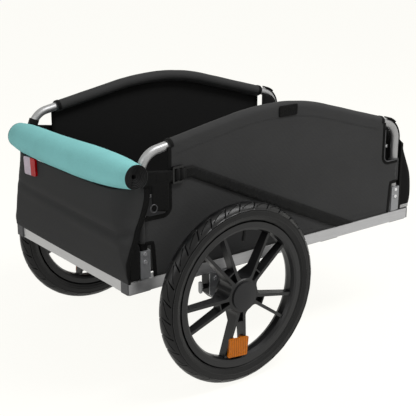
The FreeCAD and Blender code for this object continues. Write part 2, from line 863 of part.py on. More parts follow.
def channel_section(z, outer_x, corner, half_width, flap_x, crown, thick, forward):
    """A wide C in plan, open towards the load. Forward is 1 on the front panel, -1 on the rear one."""
    outer_turn = outer_x - forward * corner
    inner_x = outer_x - forward * thick
    inner_width = half_width - thick
    bow = math.sqrt(0.5)

    def ends(x, side, turn_x, radius, width):
        flat = (x, side * (width - radius))
        middle = (turn_x + forward * radius * bow, side * (width - radius + radius * bow))
        tip = (turn_x, side * width)
        return flat, middle, tip

    def at(place):
        return Vector(place[0], place[1], z)

    r_flat, r_mid, r_tip = ends(outer_x, -1, outer_turn, corner, half_width)
    l_flat, l_mid, l_tip = ends(outer_x, 1, outer_turn, corner, half_width)
    inner_radius = corner - thick
    ri_flat, ri_mid, ri_tip = ends(inner_x, -1, outer_turn, inner_radius, inner_width)
    li_flat, li_mid, li_tip = ends(inner_x, 1, outer_turn, inner_radius, inner_width)
    crest = outer_x + forward * crown
    edges = [
        Part.LineSegment(at((flap_x, -half_width)), at(r_tip)),
        Part.Arc(at(r_tip), at(r_mid), at(r_flat)),
        Part.Arc(at(r_flat), at((crest, 0)), at(l_flat)),
        Part.Arc(at(l_flat), at(l_mid), at(l_tip)),
        Part.LineSegment(at(l_tip), at((flap_x, half_width))),
        Part.LineSegment(at((flap_x, half_width)), at((flap_x, inner_width))),
        Part.LineSegment(at((flap_x, inner_width)), at(li_tip)),
        Part.Arc(at(li_tip), at(li_mid), at(li_flat)),
        Part.Arc(at(li_flat), at((crest - forward * thick, 0)), at(ri_flat)),
        Part.Arc(at(ri_flat), at(ri_mid), at(ri_tip)),
        Part.LineSegment(at(ri_tip), at((flap_x, -inner_width))),
        Part.LineSegment(at((flap_x, -inner_width)), at((flap_x, -half_width))),
    ]
    return Part.Wire([edge.toShape() for edge in edges])


def roll_stations():
    """The rolled cover's middle and outer radius at each even step from right to left."""
    right = rail_top + roll_right_above_rail
    left = rail_top + roll_left_above_rail
    last = len(roll_radius_shares) - 1
    stations = []
    for index, radius in enumerate(roll_radius_shares):
        share = index / last
        bow = math.sin(math.pi * share)
        middle = Vector(along(roll_end_along - roll_bow * bow),
                        -roll_right_reach + (roll_right_reach + roll_left_reach) * share,
                        right + (left - right) * share + roll_crown * bow)
        stations.append((middle, radius * roll_radius))
    return stations


def roll_section(middle, radius):
    """One turn of the rolled cover: four quarter arcs that wind outwards, and the lap's step."""
    steps = [radius - roll_lap * (4 - turn) / 4 for turn in range(5)]
    start = math.radians(roll_lap_angle)

    def at(turn, radius_here):
        angle = start + turn * math.pi / 2
        return middle + Vector(-radius_here * math.cos(angle), 0, radius_here * math.sin(angle))

    edges = []
    for turn in range(4):
        between = (steps[turn] + steps[turn + 1]) / 2
        edges.append(Part.Arc(at(turn, steps[turn]), at(turn + 1 / 2, between), at(turn + 1, steps[turn + 1])))
    edges.append(Part.LineSegment(at(4, steps[4]), at(0, steps[0])))
    return Part.Wire([edge.toShape() for edge in edges])


def rolled_cover():
    return Part.makeLoft([roll_section(middle, radius) for middle, radius in roll_stations()], True, False)


def roll_space():
    """The round space that the panel's top edge leaves for the rolled cover."""
    rings = [Part.Wire(Part.Circle(middle, Vector(0, 1, 0), radius + roll_clearance).toShape())
             for middle, radius in roll_stations()]
    return Part.makeLoft(rings, True, False)


def rear_panel():
    """The cloth panel, cut along the underside of the rolled cover and level along its flaps."""
    foot = rail_top + panel_foot_above_rail
    sections = []
    for index, (back, corner) in enumerate(zip(panel_back, panel_corner)):
        outer = along(back)
        flap = outer + corner + panel_flap
        sections.append(channel_section(foot + index * panel_step, outer, corner, panel_half_width, flap,
                                        panel_crown, panel_thick, -1))
    shell = Part.makeLoft(sections, True, False)
    top = rail_top + flap_top_above_rail
    high = hoop_apex_z
    reach = panel_half_width + overrun
    above = box(along(0), along(hoop_front_along), -reach, reach, top, high)
    shell = shell.cut([roll_space(), above])
    return max(shell.Solids, key=lambda solid: solid.Volume)


def reflector_lens(y0, y1):
    """One half of the rear reflector, on the panel's outer face."""
    back = along(-reflector_behind)
    z0 = rail_top + reflector_above_rail - reflector_height / 2
    return box(back - reflector_thick, back, y0, y1, z0, z0 + reflector_height)


def tilted(lens):
    """The lens as it hangs, turned in the panel's plane about the reflector's middle."""
    middle = Vector(along(-reflector_behind), reflector_centre, rail_top + reflector_above_rail)
    lens.rotate(middle, Vector(1, 0, 0), -reflector_tilt)
    return lens


def rear_reflector():
    left = reflector_centre + reflector_width / 2
    right = reflector_centre - reflector_width / 2
    split = left - reflector_white_width
    white = reflector_lens(split + reflector_split_gap / 2, left)
    red = reflector_lens(right, split - reflector_split_gap / 2)
    white_edges = [edge for edge in edges_along(white, Vector(1, 0, 0))
                   if edge.CenterOfMass.y > split + reflector_corner]
    red_edges = [edge for edge in edges_along(red, Vector(1, 0, 0))
                 if edge.CenterOfMass.y < split - reflector_corner]
    save("rear_reflector_white", tilted(white.makeFillet(reflector_corner, white_edges)))
    save("rear_reflector_red", tilted(red.makeFillet(reflector_corner, red_edges)))


def corner_strap():
    """The flat strap from the buckle back to the rolled cover, with its hanging tab."""
    face = -panel_half_width - layer_gap
    front = along(buckle_along - buckle_length / 2 - layer_gap)
    low = corner_strap_rear_low
    high = corner_strap_rear_high
    points = [(along(low[0]), rail_top + low[1]), (front, rail_top + corner_strap_front_low),
              (front, rail_top + corner_strap_front_high), (along(high[0]), rail_top + high[1])]
    strap = plate_xz(points, face - strap_thick, face)
    tab = rounded_box(along(tab_rear_along), along(tab_front_along), face - strap_thick, face,
                      rail_top + tab_bottom_above_rail, rail_top + low[1] + strap_width / 2,
                      tab_corner, Vector(0, 1, 0))
    return fused([strap, tab])


def corner_ring():
    y = -panel_half_width - layer_gap - strap_thick - layer_gap - ring_wire
    centre = Vector(along(tab_rear_along), y, rail_top + ring_above_rail)
    return Part.makeTorus(ring_radius, ring_wire, centre, Vector(0, 1, 0))


def rear_group():
    save("rear_panel", rear_panel())
    save("rolled_cover", rolled_cover())
    rear_reflector()
    strap = corner_strap()
    save("corner_straps", strap, mirrored(strap))
    ring = corner_ring()
    save("corner_rings", ring, mirrored(ring))


# Front panel

def front_panel():
    foot = rail_top - front_foot_below_rail
    sections = []
    for index, (reach, corner) in enumerate(zip(front_reach, front_corner)):
        sections.append(channel_section(foot + index * front_step, along(frame_length + reach), corner,
                                        front_half_width, along(frame_length - front_flap_inset),
                                        front_crown, panel_thick, 1))
    shell = Part.makeLoft(sections, True, False)
    gap = front_rail_clearance
    rails = box(along(0), along(frame_length) + gap, -half_frame - gap, half_frame + gap,
                rail_bottom - gap, rail_top + gap)
    return shell.cut(rails)


# Wheels. Each is built round the Y axis with its outer side towards -Y, and then placed.

def on_wheel(shape):
    return shape.translated(Vector(axle_x, -wheel_y, axle_height))


def revolved(points):
    """A ring whose section is a list of (radius, y) points."""
    return polygon_face([Vector(radius, y, 0) for radius, y in points]).revolve(
        Vector(0, 0, 0), Vector(0, 1, 0), 360)


def disc_face(radius, centre):
    circle = Part.Circle(Vector(centre, 0, 0), Vector(0, 0, 1), radius)
    return Part.Face(Part.Wire(circle.toShape()))


def rectangle_face(r0, r1, y0, y1):
    return polygon_face([Vector(r0, y0, 0), Vector(r1, y0, 0), Vector(r1, y1, 0), Vector(r0, y1, 0)])


def tyre():
    casing = disc_face(tyre_section, tyre_centre)
    cavity = disc_face(tyre_section - tyre_wall, tyre_centre)
    half = bead_half_width
    foot = bead_radius + bead_clearance
    legs = rectangle_face(foot, tyre_centre, -half, half)
    mouth = half - bead_thick
    opening = rectangle_face(foot - overrun, tyre_centre, -mouth, mouth)
    section = casing.fuse(legs).removeSplitter().cut(cavity).cut(opening)
    ring = max(section.Faces, key=lambda face: face.Area)
    return ring.revolve(Vector(0, 0, 0), Vector(0, 1, 0), 360)


def inner_tube():
    """The air tube with its valve, which passes through the rim."""
    outer = tyre_section - tyre_wall - tube_clearance
    ring = disc_face(outer, tyre_centre).cut(disc_face(outer - tube_wall, tyre_centre))
    torus = ring.revolve(Vector(0, 0, 0), Vector(0, 1, 0), 360)
    root = tyre_centre - outer + tube_wall / 2
    tip = rim_waist_radius - valve_length
    stem = Part.makeCylinder(valve_radius, root - tip, Vector(tip, 0, 0), Vector(1, 0, 0))
    cap = Part.makeCylinder(valve_cap_radius, valve_cap_length, Vector(tip - overrun, 0, 0), Vector(1, 0, 0))
    whole = fused([torus, stem, cap])
    whole.rotate(Vector(0, 0, 0), Vector(0, 1, 0), -valve_angle)
    return whole


def rim_ring():
    """The rim's section: two flanges, bead seats, a well and the inner shell."""
    half = rim_half_width
    seat = bead_radius
    flange = half - rim_flange_thick
    well = seat - rim_well_depth
    points = [
        (rim_flange, -half), (rim_flange, -flange), (seat, -flange), (seat, -rim_well_half_width - rim_shell),
        (well, -rim_well_half_width), (well, rim_well_half_width), (seat, rim_well_half_width + rim_shell),
        (seat, flange), (rim_flange, flange), (rim_flange, half), (rim_inner_radius + rim_shell, half),
        (rim_inner_radius, half - rim_shell / 2), (rim_waist_radius, rim_well_half_width),
        (rim_waist_radius, -rim_well_half_width), (rim_inner_radius, -half + rim_shell / 2),
        (rim_inner_radius + rim_shell, -half),
    ]
    return revolved(points)


def spoke_strip(angle, side):
    """One spoke's outline as a flat plate, from inside the hub to inside the rim."""
    inner = hub_radius / 2
    outer = rim_waist_radius + rim_shell / 2
    lean = (spoke_rim_spread - spoke_hub_spread) / (rim_waist_radius - hub_radius)
    half = spoke_width / 2
    near = side * (spoke_hub_spread - lean * (hub_radius - inner))
    far = side * (spoke_hub_spread + lean * (outer - hub_radius))
    points = [(inner, near - half), (outer, far - half), (outer, far + half), (inner, near + half)]
    plate = plate_xz(points, -spoke_hub_depth_out, spoke_hub_depth_in)
    plate.rotate(Vector(0, 0, 0), Vector(0, 1, 0), -angle)
    return plate


def crotch_edges(shape):
    """The upright edges where neighbouring pairs of spokes meet the hub."""
    chosen = []
    for edge in edges_along(shape, Vector(0, 1, 0)):
        middle = edge.CenterOfMass
        radius = math.hypot(middle.x, middle.z)
        angle = math.degrees(math.atan2(middle.z, middle.x)) - spoke_phase
        from_pair = abs((angle + 180 / spoke_pairs) % (360 / spoke_pairs) - 180 / spoke_pairs)
        offset = radius * math.sin(math.radians(from_pair))
        if abs(radius - hub_radius) < overrun and offset > spoke_hub_spread:
            chosen.append(edge)
    return chosen


def spoke_star():
    """Hub disc and spokes, rounded where the pairs meet, and thinned towards the rim."""
    hub = cylinder_y(0, -spoke_hub_depth_out, spoke_hub_depth_in, 0, hub_radius)
    angles = [spoke_phase + 360 / spoke_pairs * step for step in range(spoke_pairs)]
    strips = [spoke_strip(angle, side) for angle in angles for side in (-1, 1)]
    star = hub.multiFuse(strips).removeSplitter()
    star = star.makeFillet(spoke_fillet, crotch_edges(star))
    envelope = revolved([
        (0, -spoke_hub_depth_out), (hub_radius, -spoke_hub_depth_out), (rim_inner_radius, -spoke_rim_depth),
        (rim_inner_radius, spoke_waist_depth), (spoke_waist_radius, spoke_waist_depth),
        (hub_radius + spoke_width, spoke_hub_depth_in), (0, spoke_hub_depth_in),
    ])
    return star.common(envelope), angles


def pocket_webs(angles):
    """Between the two spokes of each pair: a cross web and a floor nearer the hub."""
    pieces = []
    lean = (spoke_rim_spread - spoke_hub_spread) / (rim_waist_radius - hub_radius)
    spread = spoke_hub_spread + lean * (pocket_web_radius - hub_radius)
    near = spoke_hub_spread
    far = pocket_web_radius + pocket_web_thick
    start = hub_radius - spoke_width / 2
    for angle in angles:
        web = box(pocket_web_radius, far, -spoke_hub_depth_out + hub_face_inset, spoke_waist_depth,
                  -spread, spread)
        floor_plate = plate_xz([(start, -near), (far, -spread), (far, spread), (start, near)],
                               -pocket_floor_thick / 2, pocket_floor_thick / 2)
        piece = web.fuse(floor_plate)
        piece.rotate(Vector(0, 0, 0), Vector(0, 1, 0), -angle)
        pieces.append(piece)
    return pieces


def rim():
    """The moulded wheel: rim, spokes and hub barrel in one piece."""
    star, angles = spoke_star()
    barrel = revolved([(0, -hub_outboard), (hub_radius - hub_face_inset, -hub_outboard),
                       (hub_radius, -spoke_hub_depth_out), (hub_radius, hub_inboard - hub_face_inset),
                       (hub_radius - hub_face_inset, hub_inboard), (0, hub_inboard)])
    wheel = rim_ring().multiFuse([star, barrel] + pocket_webs(angles)).removeSplitter()
    seat = bearing_outer + bearing_clearance
    shoulder = bearing_outer - bearing_ring
    cuts = [
        cylinder_y(0, -hub_outboard - overrun, hub_inboard + overrun, 0, shoulder),
        cylinder_y(0, -hub_outboard - overrun, -bearing_outboard + bearing_width, 0, seat),
        cylinder_y(0, bearing_inboard, hub_inboard + overrun, 0, seat),
        cylinder_y(0, -hub_outboard - overrun, -hub_outboard + cap_plug_depth + layer_gap, 0,
                   cap_plug_radius + cap_clearance),
    ]
    valve = Part.makeCylinder(valve_radius + fastener_clearance, bead_radius, Vector(pocket_web_radius * 2, 0, 0),
                              Vector(1, 0, 0))
    valve.rotate(Vector(0, 0, 0), Vector(0, 1, 0), -valve_angle)
    return wheel.cut(cuts + [valve])


def hub_cap():
    """A shallow dome with a ring that plugs into the hub's face."""
    face = -hub_outboard - layer_gap
    front = face - cap_thick
    dome_edge = face - cap_edge
    rise = cap_thick - cap_edge
    sphere = (cap_radius ** 2 + rise ** 2) / (2 * rise)
    half = math.asin(cap_radius / sphere) / 2
    crest = Vector(sphere * math.sin(half), front + sphere * (1 - math.cos(half)), 0)
    profile = Part.Wire([
        Part.LineSegment(Vector(0, face, 0), Vector(cap_radius, face, 0)).toShape(),
        Part.LineSegment(Vector(cap_radius, face, 0), Vector(cap_radius, dome_edge, 0)).toShape(),
        Part.Arc(Vector(cap_radius, dome_edge, 0), crest, Vector(0, front, 0)).toShape(),
        Part.LineSegment(Vector(0, front, 0), Vector(0, face, 0)).toShape(),
    ])
    dome = Part.Face(profile).revolve(Vector(0, 0, 0), Vector(0, 1, 0), 360)
    inner = cap_plug_radius - cap_plug_wall
    plug = revolved([(inner, face), (cap_plug_radius, face), (cap_plug_radius, face + cap_plug_depth),
                     (inner, face + cap_plug_depth)])
    return fused([dome, plug])


def bearing(start):
    """A ball bearing drawn as its two rings, joined by the shield between them."""
    bore = axle_radius + running_clearance
    end = start + bearing_width
    points = [
        (bore, start), (bore + bearing_ring, start), (bore + bearing_ring, start + bearing_step),
        (bearing_outer - bearing_ring, start + bearing_step), (bearing_outer - bearing_ring, start),
        (bearing_outer, start), (bearing_outer, end), (bearing_outer - bearing_ring, end),
        (bearing_outer - bearing_ring, end - bearing_step), (bore + bearing_ring, end - bearing_step),
        (bore + bearing_ring, end), (bore, end),
    ]
    return revolved(points)


def spoke_reflector():
    """The amber reflector on the outer edges of the lowest pair of spokes, with its clip between them."""
    share = (spoke_reflector_radius - hub_radius) / (rim_inner_radius - hub_radius)
    near = spoke_reflector_radius - spoke_reflector_height / 2
    near_share = (near - hub_radius) / (rim_inner_radius - hub_radius)
    depth = spoke_hub_depth_out + (spoke_rim_depth - spoke_hub_depth_out) * near_share
    face = -depth - spoke_reflector_gap
    half = spoke_reflector_width / 2
    lens = rounded_box(near, near + spoke_reflector_height, face - spoke_reflector_thick, face, -half, half,
                       spoke_reflector_corner, Vector(0, 1, 0))
    lean = (spoke_rim_spread - spoke_hub_spread) / (rim_waist_radius - hub_radius)
    inner_gap = spoke_hub_spread + lean * (near - hub_radius) - spoke_width / 2 - layer_gap
    clip = box(near, near + reflector_clip_height, face - spoke_reflector_thick / 2, face + reflector_clip_depth,
               -inner_gap, inner_gap)
    hollow = box(near - overrun, near + reflector_clip_height + overrun, face, face + reflector_clip_depth + overrun,
                 -inner_gap + reflector_clip_width, inner_gap - reflector_clip_width)
    whole = fused([lens, clip]).cut(hollow)
    whole.rotate(Vector(0, 0, 0), Vector(0, 1, 0), -(spoke_phase + 3 * 360 / spoke_pairs))
    return whole


def wheels():
    both_sides("tyre", on_wheel(tyre()))
    both_sides("inner_tube", on_wheel(inner_tube()))
    both_sides("rim", on_wheel(rim()))
    both_sides("hub_cap", on_wheel(hub_cap()))
    pair = Part.makeCompound([bearing(-bearing_outboard), bearing(bearing_inboard)])
    both_sides("wheel_bearings", on_wheel(pair))
    both_sides("spoke_reflector", on_wheel(spoke_reflector()))


# Axle brackets

block_outer_y = half_frame + block_inset
block_inner_y = block_outer_y - block_depth
plate_outer_y = block_outer_y + plate_thick
plunger_y = -(block_outer_y + block_inner_y) / 2
rail_bolt_seat = rail_bottom - block_straight + rail_bolt_recess


def bracket_outline():
    half = block_length / 2
    low = rail_bottom - block_straight
    return [(axle_x - half, rail_bottom), (axle_x - half, low),
            (axle_x - half + block_chamfer, low - block_chamfer),
            (axle_x + half - block_chamfer, low - block_chamfer), (axle_x + half, low),
            (axle_x + half, rail_bottom)]


def plate_bolt_places():
    return [(axle_x + side * plate_bolt_side, axle_height + height)
            for side in (-1, 1) for height in (plate_bolt_up, -plate_bolt_down)]


def rail_bolt_places():
    y = -(block_inner_y + rail_bolt_inset)
    return [(axle_x + step * rail_bolt_side, y) for step in (-1, 1)]


def plunger_places():
    """Along X: the groove's floor, the nose's tip, the collar's front and back, and the block's face."""
    tip = axle_x - axle_groove_radius - spacer_gap
    collar_front = tip - knob_nose_length
    collar_back = collar_front - knob_collar_thick
    return tip, collar_front, collar_back, collar_back - spring_length


def axle_block():
    """The moulded block under the right rail: axle bore, plunger bore and bolt holes."""
    body = plate_xz(bracket_outline(), -block_outer_y, -block_inner_y)
    face = axle_x - block_length / 2
    boss = cylinder_x(face - boss_length, face + overrun, plunger_y, axle_height, boss_radius)
    tip, collar_front, collar_back, spring_seat = plunger_places()
    cuts = [
        cylinder_y(axle_x, -block_outer_y - overrun, -block_inner_y - axle_bore_floor, axle_height,
                   axle_radius + running_clearance),
        cylinder_x(spring_seat, collar_front + spacer_gap, plunger_y, axle_height, knob_bore_radius),
        cylinder_x(collar_front, axle_x, plunger_y, axle_height, knob_nose_radius + running_clearance),
        cylinder_x(face - boss_length - overrun, axle_x, plunger_y, axle_height, knob_rod + running_clearance),
    ]
    for x, z in plate_bolt_places():
        cuts.append(cylinder_y(x, -block_outer_y - overrun, -block_inner_y + overrun, z,
                               bolt_radius + fastener_clearance))
    low = rail_bottom - block_straight - block_chamfer
    for x, y in rail_bolt_places():
        cuts.append(cylinder_z(x, y, low, rail_bottom + overrun, rail_bolt_radius + fastener_clearance))
        cuts.append(cylinder_z(x, y, low, rail_bolt_seat, rail_bolt_head_radius + fastener_clearance))
    return fused([body, boss]).cut(cuts)


def axle_plate():
    plate = plate_xz(bracket_outline(), -plate_outer_y, -block_outer_y)
    cuts = [cylinder_y(x, -plate_outer_y - overrun, -block_outer_y + overrun, z, bolt_radius + fastener_clearance)
            for x, z in plate_bolt_places()]
    cuts.append(cylinder_y(axle_x, -plate_outer_y - overrun, -block_outer_y + overrun, axle_height,
                           axle_radius + running_clearance))
    return plate.cut(cuts)


def bracket_bolts():
    """Four bolts through the plate and block, and two up through the block into the rail."""
    bolts = []
    for x, z in plate_bolt_places():
        head = cylinder_y(x, -plate_outer_y - bolt_head_height, -plate_outer_y, z, bolt_head_radius)
        shank = cylinder_y(x, -plate_outer_y - bolt_head_height / 2, -block_inner_y, z, bolt_radius)
        bolts.append(fused([head, shank]))
    for x, y in rail_bolt_places():
        head = cylinder_z(x, y, rail_bolt_seat - bolt_head_height, rail_bolt_seat, rail_bolt_head_radius)
        shank = cylinder_z(x, y, rail_bolt_seat - bolt_head_height / 2,
                           rail_bottom + rail_wall + rail_bolt_reach, rail_bolt_radius)
        bolts.append(fused([head, shank]))
    return Part.makeCompound(bolts)


def stub_axle():
    """A quick-release axle: groove for the plunger at its inner end, head beyond the outer bearing."""
    head_face = -wheel_y - bearing_outboard - axle_head_gap
    inner_end = -block_inner_y - axle_bore_floor - axle_head_gap
    shaft = cylinder_y(axle_x, head_face, inner_end, axle_height, axle_radius)
    head = cylinder_y(axle_x, head_face - axle_head_thick, head_face, axle_height, axle_head_radius)
    y0 = plunger_y - axle_groove_width / 2
    y1 = plunger_y + axle_groove_width / 2
    groove = cylinder_y(axle_x, y0, y1, axle_height, axle_radius + overrun).cut(
        cylinder_y(axle_x, y0, y1, axle_height, axle_groove_radius))
    return fused([shaft, head]).cut(groove)


def axle_spacer():
    outer = -wheel_y + bearing_inboard + bearing_width + spacer_gap
    inner = -plate_outer_y - spacer_gap
    ring = cylinder_y(axle_x, outer, inner, axle_height, spacer_radius)
    return ring.cut(cylinder_y(axle_x, outer - overrun, inner + overrun, axle_height,
                               axle_radius + running_clearance))


def release_knob():
    """A paddle on a rod, with the collar that the spring pushes and the nose that holds the axle."""
    tip, collar_front, collar_back, spring_seat = plunger_places()
    paddle_front = axle_x - block_length / 2 - boss_length - paddle_gap
    rod = cylinder_x(paddle_front - paddle_thick / 2, collar_front, plunger_y, axle_height, knob_rod)
    collar = cylinder_x(collar_back, collar_front, plunger_y, axle_height, knob_collar_radius)
    nose = cylinder_x(collar_front - overrun, tip, plunger_y, axle_height, knob_nose_radius)
    half = paddle_width / 2
    paddle = rounded_box(paddle_front - paddle_thick, paddle_front, plunger_y - half, plunger_y + half,
                         axle_height - paddle_height / 2, axle_height + paddle_height / 2,
                         half - layer_gap, Vector(1, 0, 0))
    return fused([rod, collar, nose, paddle])


def release_spring():
    tip, collar_front, collar_back, spring_seat = plunger_places()
    length = collar_back - spring_seat - spring_wire - 2 * layer_gap
    radius = (knob_rod + knob_bore_radius) / 2
    helix = Part.makeHelix(length / spring_turns, length, radius)
    ring = Part.Circle(Vector(radius, 0, 0), Vector(0, 1, 0), spring_wire / 2)
    coil = Part.Wire(helix.Edges).makePipeShell([Part.Wire(ring.toShape())], True, True)
    coil.rotate(Vector(0, 0, 0), Vector(0, 1, 0), 90)
    coil.translate(Vector(spring_seat + spring_wire / 2 + layer_gap, plunger_y, axle_height))
    return coil


def axle_brackets():
    for name, shape in (("axle_blocks", axle_block()), ("axle_plates", axle_plate()),
                        ("bracket_bolts", bracket_bolts()), ("stub_axles", stub_axle()),
                        ("axle_spacers", axle_spacer()), ("release_springs", release_spring())):
        save(name, shape, mirrored(shape))
    both_sides("release_knob", release_knob())


# Tow arm, folded back under the floor on the left

tow_x = along(frame_length - tow_pivot_inset)
arm_route = [
    Vector(tow_x + arm_tongue, rail_middle, tow_z),
    Vector(tow_x - arm_straight, rail_middle, tow_z),
    Vector(tow_x - arm_straight - arm_reach, rail_middle - arm_inboard, tow_z - arm_rise),
    Vector(tow_x - arm_straight - arm_reach - arm_end, rail_middle - arm_inboard, tow_z - arm_rise),
]
hitch_pin_place = arm_route[-1] + Vector(arm_tongue, 0, 0)


def bent_route(points, radius):
    """Straight runs joined by tangent arcs."""
    edges = []
    start = points[0]
    for before, corner, after in zip(points, points[1:], points[2:]):
        inward = (before - corner).normalize()
        outward = (after - corner).normalize()
        half = inward.getAngle(outward) / 2
        cut = radius / math.tan(half)
        centre = corner + (inward + outward).normalize() * (radius / math.sin(half))
        first = corner + inward * cut
        last = corner + outward * cut
        middle = centre + (corner - centre).normalize() * radius
        edges.append(Part.LineSegment(start, first).toShape())
        edges.append(Part.Arc(first, middle, last).toShape())
        start = last
    edges.append(Part.LineSegment(start, points[-1]).toShape())
    return edges


def tow_arm():
    """The bent tube, with both ends rounded about their pins."""
    edges = bent_route(arm_route, arm_bend)
    tube = pipe(edges, arm_radius).cut(pipe(edges, arm_radius - arm_wall))
    pin = hitch_pin_place
    reach = arm_radius + overrun
    front = box(tow_x, tow_x + arm_tongue + overrun, rail_middle - reach, rail_middle + reach,
                tow_z - reach, tow_z + reach)
    front = front.cut(cylinder_y(tow_x, rail_middle - reach, rail_middle + reach, tow_z, arm_tongue))
    rear = box(pin.x - arm_tongue - overrun, pin.x, pin.y - reach, pin.y + reach, pin.z - reach, pin.z + reach)
    rear = rear.cut(cylinder_z(pin.x, pin.y, pin.z - reach, pin.z + reach, arm_tongue))
    holes = [cylinder_y(tow_x, rail_middle - reach, rail_middle + reach, tow_z,
                        tow_bolt_radius + running_clearance),
             cylinder_z(pin.x, pin.y, pin.z - reach, pin.z + reach, hitch_pin_radius + running_clearance)]
    return tube.cut([front, rear] + holes)


def tow_bracket():
    """A channel under the left rail whose two ears hold the arm's pivot."""
    inner = arm_radius + tow_ear_gap
    outer = inner + tow_ear_thick
    x0 = tow_x - tow_ear_back
    x1 = tow_x + tow_ear_front
    base = box(x0, x1, rail_middle - outer, rail_middle + outer, rail_bottom - tow_base_thick, rail_bottom)
    ears = []
    for side in (-1, 1):
        y0, y1 = sorted((rail_middle + side * inner, rail_middle + side * outer))
        ears.append(box(x0, x1, y0, y1, tow_z, rail_bottom))
        ears.append(cylinder_y(tow_x, y0, y1, tow_z, tow_ear_front))
    bore = cylinder_y(tow_x, rail_middle - outer - overrun, rail_middle + outer + overrun, tow_z,
                      tow_bolt_radius + running_clearance)
    return fused([base] + ears).cut(bore)


def tow_pivot_bolt():
    outer = arm_radius + tow_ear_gap + tow_ear_thick
    head_y = rail_middle + outer + layer_gap
    end_y = rail_middle - outer - clamp_gap - clamp_knob_thick / 2
    shank = cylinder_y(tow_x, end_y, head_y + tow_bolt_head_thick / 2, tow_z, tow_bolt_radius)
    head = cylinder_y(tow_x, head_y, head_y + tow_bolt_head_thick, tow_z, tow_bolt_head)
    return fused([shank, head])


def tow_clamp_knob():
    """A scalloped hand knob on the pivot bolt's inner end."""
    face = rail_middle - arm_radius - tow_ear_gap - tow_ear_thick - clamp_gap
    body = cylinder_y(tow_x, face - clamp_knob_thick, face, tow_z, clamp_knob_radius)
    cuts = []
    for lobe in range(clamp_knob_lobes):
        angle = 2 * math.pi * lobe / clamp_knob_lobes
        x = tow_x + (clamp_knob_radius + clamp_knob_scallop / 2) * math.cos(angle)
        z = tow_z + (clamp_knob_radius + clamp_knob_scallop / 2) * math.sin(angle)
        cuts.append(cylinder_y(x, face - clamp_knob_thick - overrun, face + overrun, z, clamp_knob_scallop))
    cuts.append(cylinder_y(tow_x, face - clamp_knob_thick / 2 - layer_gap, face + overrun, tow_z,
                           tow_bolt_radius + running_clearance))
    return body.cut(cuts)


def hitch_head():
    """A clevis over and under the arm's end, with a lug whose hole takes the bicycle's axle."""
    pin = hitch_pin_place
    inner = arm_radius + clevis_gap
    outer = inner + clevis_plate
    half = clevis_width / 2
    back = pin.x - clevis_back
    front = pin.x + half
    plates = []
    for side in (-1, 1):
        z0, z1 = sorted((pin.z + side * inner, pin.z + side * outer))
        plates.append(box(back - clevis_plate, pin.x, pin.y - half, pin.y + half, z0, z1))
        plates.append(cylinder_z(pin.x, pin.y, z0, z1, half))
    wall = box(back - clevis_plate, back, pin.y - half, pin.y + half, pin.z - outer, pin.z + outer)
    lug_end = back - clevis_plate - clevis_lug_length
    lug_half = clevis_lug_height / 2
    thick = clevis_lug_thick / 2
    lug = box(lug_end + lug_half, back, pin.y - thick, pin.y + thick, pin.z - lug_half, pin.z + lug_half)
    nose = cylinder_y(lug_end + lug_half, pin.y - thick, pin.y + thick, pin.z, lug_half)
    cuts = [
        cylinder_z(pin.x, pin.y, pin.z - outer - overrun, pin.z + outer + overrun,
                   hitch_pin_radius + running_clearance),
        cylinder_y(lug_end + lug_half, pin.y - thick - overrun, pin.y + thick + overrun, pin.z,
                   hitch_hole_radius),
    ]
    return fused(plates + [wall, lug, nose]).cut(cuts)


def hitch_pin():
    pin = hitch_pin_place
    reach = arm_radius + clevis_gap + clevis_plate + layer_gap
    shank = cylinder_z(pin.x, pin.y, pin.z - reach - hitch_pin_tail, pin.z + reach, hitch_pin_radius)
    head = cylinder_z(pin.x, pin.y, pin.z + reach, pin.z + reach + hitch_pin_head_thick, hitch_pin_head)
    return fused([shank, head])


def tow_group():
    save("tow_arm", tow_arm())
    save("tow_bracket", tow_bracket())
    save("tow_pivot_bolt", tow_pivot_bolt())
    save("tow_clamp_knob", tow_clamp_knob())
    save("hitch_head", hitch_head())
    save("hitch_pin", hitch_pin())


os.makedirs("parts", exist_ok=True)
frame()
end_plugs()
floor()
hoops()
side_walls()
rear_group()
save("front_panel", front_panel())
wheels()
axle_brackets()
tow_group()
print("rear end of the frame at x", round(rear_end, 3), "axle at x", round(axle_x, 3), "rail top", rail_top,
      "hinge height", hinge_z, "tow pivot", round(tow_x, 3), tow_z, "hitch pin", hitch_pin_place)
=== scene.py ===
"""Looks of a bicycle cargo trailer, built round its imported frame.

Lengths in this file are millimetres unless a name says otherwise. "Along" distances run forwards
from the rear end of the floor frame, y runs to the trailer's left, and z up from the ground. What
both sides have is made for the right side and mirrored for the left one.
"""

from __future__ import annotations

import logging
import math
from dataclasses import dataclass, field
from enum import Enum
from typing import Callable, ClassVar, Sequence

import bmesh
import bpy
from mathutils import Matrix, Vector, noise
from mathutils.geometry import delaunay_2d_cdt

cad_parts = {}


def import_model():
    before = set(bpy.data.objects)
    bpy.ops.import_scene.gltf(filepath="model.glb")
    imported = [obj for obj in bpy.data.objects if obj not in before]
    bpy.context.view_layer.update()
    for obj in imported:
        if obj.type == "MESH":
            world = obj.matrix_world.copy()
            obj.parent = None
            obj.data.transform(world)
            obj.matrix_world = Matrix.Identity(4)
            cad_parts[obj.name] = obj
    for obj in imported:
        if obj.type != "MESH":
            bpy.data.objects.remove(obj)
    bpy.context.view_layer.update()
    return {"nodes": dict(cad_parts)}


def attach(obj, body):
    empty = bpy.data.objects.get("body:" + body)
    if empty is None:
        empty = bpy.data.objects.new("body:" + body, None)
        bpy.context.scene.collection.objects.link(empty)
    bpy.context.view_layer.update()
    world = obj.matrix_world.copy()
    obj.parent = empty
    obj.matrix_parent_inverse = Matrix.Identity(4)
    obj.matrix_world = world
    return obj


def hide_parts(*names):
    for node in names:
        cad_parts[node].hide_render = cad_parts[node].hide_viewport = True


log = logging.getLogger("trailer")

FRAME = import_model()

MM = 0.001
